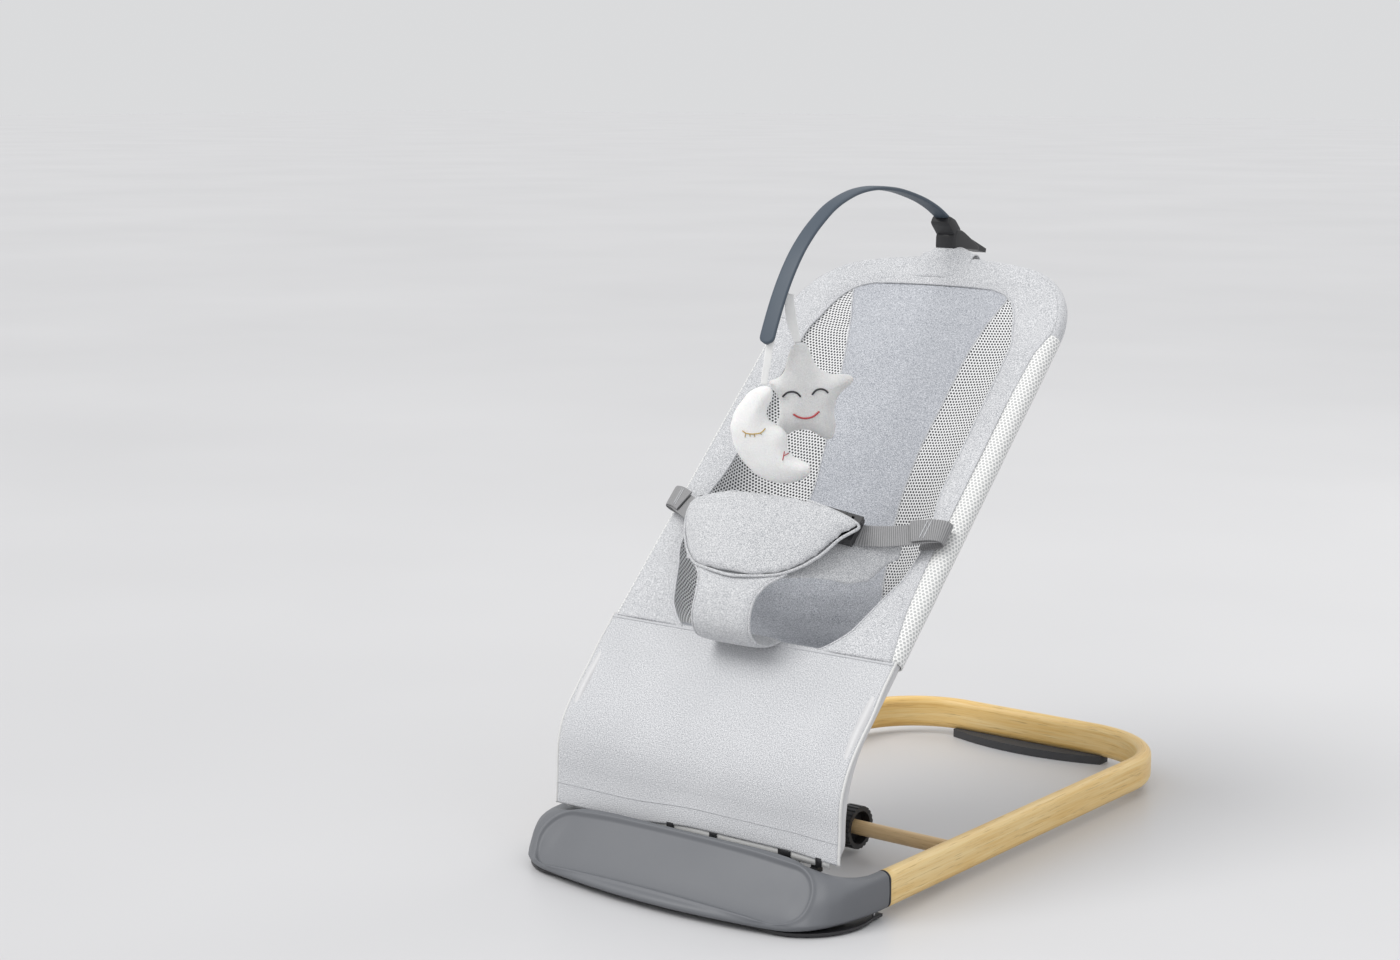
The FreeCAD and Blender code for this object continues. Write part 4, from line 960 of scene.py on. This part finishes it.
BAR_WIDE, BAR_LONG = 18.6, 520.0


def toy_bar():
    """Curved strap from the clamp over to its round tip."""
    line = [(413, 662.5), (400, 671.5), (380, 682), (354, 691.8), (320, 700.6), (294, 705), (262, 707),
            (232, 704.6),
            (206, 698.4), (182, 689.2), (160, 676), (140, 661), (121.5, 643), (104.5, 621), (90.5, 598),
            (78, 573), (69.5, 553.5)]
    count = 160
    to_tip = np.linspace(BAR_LONG, 0, count) / (BAR_WIDE / 2)
    width = BAR_WIDE * np.sqrt(1 - (1 - np.clip(to_tip, 0.02, 1)) ** 2)
    flat_strap("toy_bar_strap", spline([(0, y, z) for y, z in line], count), np.array([1, 0, 0]), width, 4.6,
               BAR, "toy_arm", replaces="toy_strap")


toy_bar()


# ------------------------------------------------------------------ toys

TOY_TURN = math.radians(38)
STAR_CENTRE, MOON_CENTRE = (21.5, 119.4, 501), (3, 72, 460)
LEAST_RISE = 0.8


def toy_point(p, centre=(0, 0, 0)):
    """Points drawn as (right, front, up) in a toy's plane, to local millimetres."""
    x, y, z = np.moveaxis(np.asarray(p, float), -1, 0)
    cos, sin = math.cos(TOY_TURN), math.sin(TOY_TURN)
    return np.stack([x * cos - y * sin, x * sin + y * cos, z], axis=-1) + np.asarray(centre, float)


def inner_distance(edge, flat):
    """How far points lie inside a closed outline, negative outside it."""
    inside = np.zeros(len(flat), bool)
    distance = np.full(len(flat), 1e9)
    for a, b in zip(edge, np.roll(edge, -1, 0)):
        d = b - a
        spans = (a[1] > flat[:, 1]) != (b[1] > flat[:, 1])
        inside ^= spans & (flat[:, 0] < d[0] * (flat[:, 1] - a[1]) / (d[1] + 1e-12) + a[0])
        t = np.clip(((flat - a) @ d) / (d @ d + 1e-12), 0, 1)
        distance = np.minimum(distance, np.linalg.norm(flat - a - t[:, None] * d, axis=1))
    return np.where(inside, distance, -distance)


def stuffed(body, outline_points, centre, thick, fall, material):
    """A stuffed toy from its outline: two crowned faces meeting at the seam."""
    edge = spline(outline_points, 160)[:-1]
    for _ in range(2):
        edge = (np.roll(edge, 1, 0) + 2 * edge + np.roll(edge, -1, 0)) / 4
    low, high, step = edge.min(0) - 2, edge.max(0) + 2, 2.5
    gx, gz = np.meshgrid(np.arange(low[0], high[0], step), np.arange(low[1], high[1], step))
    distance = inner_distance(edge, np.column_stack([gx.ravel(), gz.ravel()])).reshape(gx.shape)
    rise = thick / 2 * np.sqrt(1 - (1 - np.clip(distance / fall, 0, 1)) ** 2)
    held = distance > 0
    cells = held[:-1, :-1] & held[1:, :-1] & held[:-1, 1:] & held[1:, 1:]
    index, verts, faces = {}, [], []

    def vert(i, j, sign):
        if (i, j, sign) not in index:
            index[i, j, sign] = len(verts)
            verts.append(row(toy_point((gx[i, j], max(rise[i, j], LEAST_RISE) * sign, gz[i, j]), centre)))
        return index[i, j, sign]

    around = np.pad(cells, 1)
    for i, j in np.argwhere(cells):
        corner = [(i, j), (i, j + 1), (i + 1, j + 1), (i + 1, j)]
        faces.append([vert(*c, -1) for c in corner])
        faces.append([vert(*c, 1) for c in corner[::-1]])
        for k, (di, dj) in enumerate(((-1, 0), (0, 1), (1, 0), (0, -1))):
            if not around[i + 1 + di, j + 1 + dj]:
                p, q = corner[k], corner[(k + 1) % 4]
                faces.append([vert(*q, -1), vert(*p, -1), vert(*p, 1), vert(*q, 1)])
    obj = make(body + "_plush", verts, faces, material, body, replaces=body + "_toy")
    puff(obj, 0.0018, 4.0, 0.003, 14)
    return obj


def sew(name, toy, centre, points, count, radius, colour, lift=0.2, sides=6):
    """Thread along points drawn in a toy's plane, laid on the toy's front face."""
    depsgraph = bpy.context.evaluated_depsgraph_get()
    bpy.context.view_layer.update()
    shape = toy.evaluated_get(depsgraph)
    front = toy_point((0, -1, 0))
    path = []
    for x, z in spline(points, count):
        hit, where, _, _ = shape.ray_cast(Vector(row(toy_point((x, -60, z), centre))), Vector(-front))
        target = np.array(where) if hit else row(toy_point((x, -12, z), centre))
        path.append(target + front * lift / 1000)
    tube(name, path, radius, colour, name.split("_")[0], sides=sides)


def block(name, polygon, half, body, replaces):
    """A moulding with rounded corners: a side view given as (y, z), as wide as 2 * half."""
    polygon = np.asarray(polygon, float)
    round_off = 0.22
    t = np.linspace(0, 1, 6)[:, None]
    side = []
    for before, p, after in zip(np.roll(polygon, 1, 0), polygon, np.roll(polygon, -1, 0)):
        start, end = p + (before - p) * round_off, p + (after - p) * round_off
        side.append((1 - t) ** 2 * start + 2 * t * (1 - t) * p + t ** 2 * end)
    side = np.vstack(side)
    middle = side.mean(axis=0)
    grid = [np.column_stack([np.full(len(side), x * half), middle + (side - middle) * share])
            for x, share in ((-1, 0.86), (-0.97, 0.94), (-0.88, 1), (0, 1), (0.88, 1), (0.97, 0.94),
                             (1, 0.86))]
    surface(name, row(grid), BLACK, body, closed=True, caps=True, replaces=replaces)


def clamp():
    """Saddle on the head end and the sleeve that holds the toy bar, and the cloth bump under them."""
    block("bar_sleeve", [(396, 663.5), (401.5, 671), (412, 667), (424, 655), (421, 645), (411, 648)], 12.3,
          "toy_arm", "arm_socket")
    block("bar_saddle", [(408, 633.5), (408.5, 648), (414, 656.5), (428, 653.5), (447, 643), (463, 633.5),
                         (463, 629.5), (449, 631), (436, 632), (424, 633)], 13.0, "seat", "toy_clamp")
    count = 26
    low = spline([(392, 602), (404, 614.5), (413, 623.5), (419, 627), (426, 626), (432, 620),
                  (437, 612)], count)
    high = spline([(392, 603), (399, 617), (404, 629), (411, 634.5), (427, 634.5), (436, 628),
                   (439, 613)], count)
    grid = []
    for x in np.linspace(-34, 34, 41):
        share = (1 - smooth(abs(x), 9, 34)) * np.sin(np.linspace(0, math.pi, count)) ** 0.35
        grid.append(np.column_stack([np.full(count, x), low + (high - low) * share[:, None]]))
    surface("head_tab", row(grid), CLOTH, "seat", thick=1.4)


clamp()


def star():
    """Five-pointed stuffed star with closed eyes and a smile."""
    edge = [(-11.7, 54.5), (-3.5, 51.5), (0.5, 43), (7.8, 30.5), (16.4, 23.2), (30.8, 20.8), (42, 19.5),
            (47.5, 15), (46, 8), (38.4, 1), (31, -8), (28.9, -18), (29.2, -36), (28, -47), (23, -53),
            (14, -52), (2, -46), (-7.5, -43.6), (-19, -46), (-31, -52), (-38, -52), (-40, -44),
            (-36, -28), (-35, -12), (-43, 2), (-47, 10), (-42, 14.5), (-35, 16), (-30.5, 23),
            (-27, 35), (-24, 45), (-19.5, 52), (-11.7, 54.5)]
    toy = stuffed("star", edge, STAR_CENTRE, 21, 26.0, PLUSH_GREY)
    for k, eye in enumerate((((-29.4, -4.8), (-25.5, -0.6), (-19.9, 1.0), (-14.6, -0.4), (-10.9, -4.2)),
                             ((1.1, -2.1), (4.8, 2.2), (9.8, 3.8), (14.6, 2.6), (17.8, -0.4)))):
        sew("star_eye_%d" % k, toy, STAR_CENTRE, eye, 18, 1.05, DARK_THREAD, 0.25, 8)
    smile = [(-18.4, -22.7), (-12.5, -25.9), (-5.5, -27.1), (2.2, -25.2), (8.8, -19.8)]
    sew("star_smile", toy, STAR_CENTRE, smile, 24, 1.0, RED_THREAD, 0.25, 8)


def moon():
    """Stuffed crescent with a closed eye and a small mouth."""
    edge = [(-4.3, 53), (1.4, 50.4), (4.3, 45.4), (3.7, 37.8), (1, 30.2), (-0.5, 22.6), (1.4, 16.5),
            (6.5, 12.3), (14.7, 8.6), (20.4, 2.2), (22.2, -5.5), (21, -12.6), (23.3, -18.9), (29, -24),
            (35.6, -27.8), (42.6, -31.8), (46.3, -37.3), (45, -43.4), (39.4, -48.9), (28, -53.5),
            (12.8, -54.4), (-2.4, -51.6), (-15.7, -43.4), (-26.4, -32.6), (-35.6, -19.3),
            (-40.8, -4), (-41.9, 9.3), (-39.2, 21), (-32.8, 32.6), (-24.2, 43.5), (-14.8, 50.6),
            (-4.3, 53)]
    toy = stuffed("moon", edge, MOON_CENTRE, 22, 22.0, PLUSH_WHITE)
    lid = [(-28, 4.5), (-24.2, 2), (-16.6, 1.3), (-9, 2.6), (-4.3, 6.8)]
    sew("moon_eye", toy, MOON_CENTRE, lid, 20, 0.6, GOLD_THREAD, sides=8)
    lashes = (((-24.8, 2), (-25.3, -2.4)), ((-20.4, 1.4), (-20, -1.5)), ((-16, 1.3), (-15.2, -1.7)),
              ((-9.6, 2.6), (-8.2, 0.7)))
    for k, lash in enumerate(lashes):
        sew("moon_lash_%d" % k, toy, MOON_CENTRE, lash, 4, 0.45, GOLD_THREAD)
    for k, mouth in enumerate((((15.7, -17.7), (13.8, -26.5)), ((14.7, -22.1), (20.3, -20.0)))):
        sew("moon_mouth_%d" % k, toy, MOON_CENTRE, mouth, 6, 0.55, RED_THREAD)


star()
moon()


def ribbons():
    """White ribbons that carry the toys."""
    across = toy_point((1, 0, 0))
    for toy, line, places, widths in (
            ("moon", [(1.5, 79.5, 567), (1.2, 76.8, 557), (1, 73, 545), (0.5, 71.5, 534), (-1, 70, 523),
                      (-2, 69.5, 511)], [0, 18, 29], [8, 7.6, 6.6]),
            ("star", [(4.4, 105.4, 603), (3.6, 105.4, 597), (5, 106.5, 579), (8, 109, 564),
                      (10.5, 111, 552)], [0, 10, 16, 29], [9, 11, 10.5, 7])):
        width = np.interp(np.arange(30), places, widths)
        flat_strap(toy + "_band", spline(line, 30), across, width, 1.0, RIBBON, toy,
                   replaces=toy + "_ribbon")


ribbons()


# ------------------------------------------------------------------ stage

def lamp(name, kind, energy, colour, place, target, **settings):
    """A light at a place, turned to a target; a sun stays at the origin, as only its direction counts."""
    data = bpy.data.lights.new(name, kind)
    data.energy = energy
    data.color = colour
    for key, value in settings.items():
        setattr(data, key, value)
    obj = bpy.data.objects.new(name, data)
    bpy.context.scene.collection.objects.link(obj)
    if kind != "SUN":
        obj.location = place
    obj.rotation_euler = (Vector(target) - Vector(place)).to_track_quat("-Z", "Y").to_euler()


def stage():
    """Pale floor, soft light and the camera."""
    s = Shader("floor_pale", 0.38, Specular_IOR_Level=0.4)
    cloud = s.noise(s.place(), 0.8, 3.0)
    s.set("Base Color", s.ramp(cloud, [(0.3, (0.57, 0.57, 0.58)), (0.7, (0.61, 0.61, 0.62))]))
    far = 50
    floor = make("floor", [(-far, -far, 0), (far, -far, 0), (far, far, 0), (-far, far, 0)], [(0, 1, 2, 3)],
                 s.material, None)
    world = bpy.data.worlds.new("studio")
    bpy.context.scene.world = world
    world.use_nodes = True
    world.node_tree.nodes["Background"].inputs[0].default_value = (0.84, 0.845, 0.855, 1)
    world.node_tree.nodes["Background"].inputs[1].default_value = 0.84
    lamp("fill", "AREA", 9, (0.95, 0.97, 1.0), (2.6, -1.2, 1.5), (0, 0, 0.3), size=2.2)
    lamp("back", "AREA", 18, (1.0, 0.99, 0.97), (0.6, 2.6, 2.4), (0, 0, 0.3), size=2.0)
    lamp("key", "SUN", 1.9, (1.0, 0.99, 0.975), (-0.75, -1.15, 2.6), (0.25, 0.55, 0), angle=math.radians(38))
    azimuth, elevation = math.radians(38.242), math.radians(9.3316)
    right = Vector((math.cos(azimuth), math.sin(azimuth), 0))
    back = Vector((math.sin(azimuth) * math.cos(elevation), -math.cos(azimuth) * math.cos(elevation),
                   math.sin(elevation)))
    up = back.cross(right)
    data = bpy.data.cameras.new("camera")
    data.lens = 62.229
    data.sensor_width = 36
    data.clip_end = 200
    camera = bpy.data.objects.new("camera", data)
    bpy.context.scene.collection.objects.link(camera)
    camera.matrix_world = Matrix(((right.x, up.x, back.x, 1.4875), (right.y, up.y, back.y, -2.1763),
                                  (right.z, up.z, back.z, 0.8201), (0, 0, 0, 1)))
    bpy.context.scene.camera = camera
    bpy.context.scene.view_settings.view_transform = "Standard"


stage()
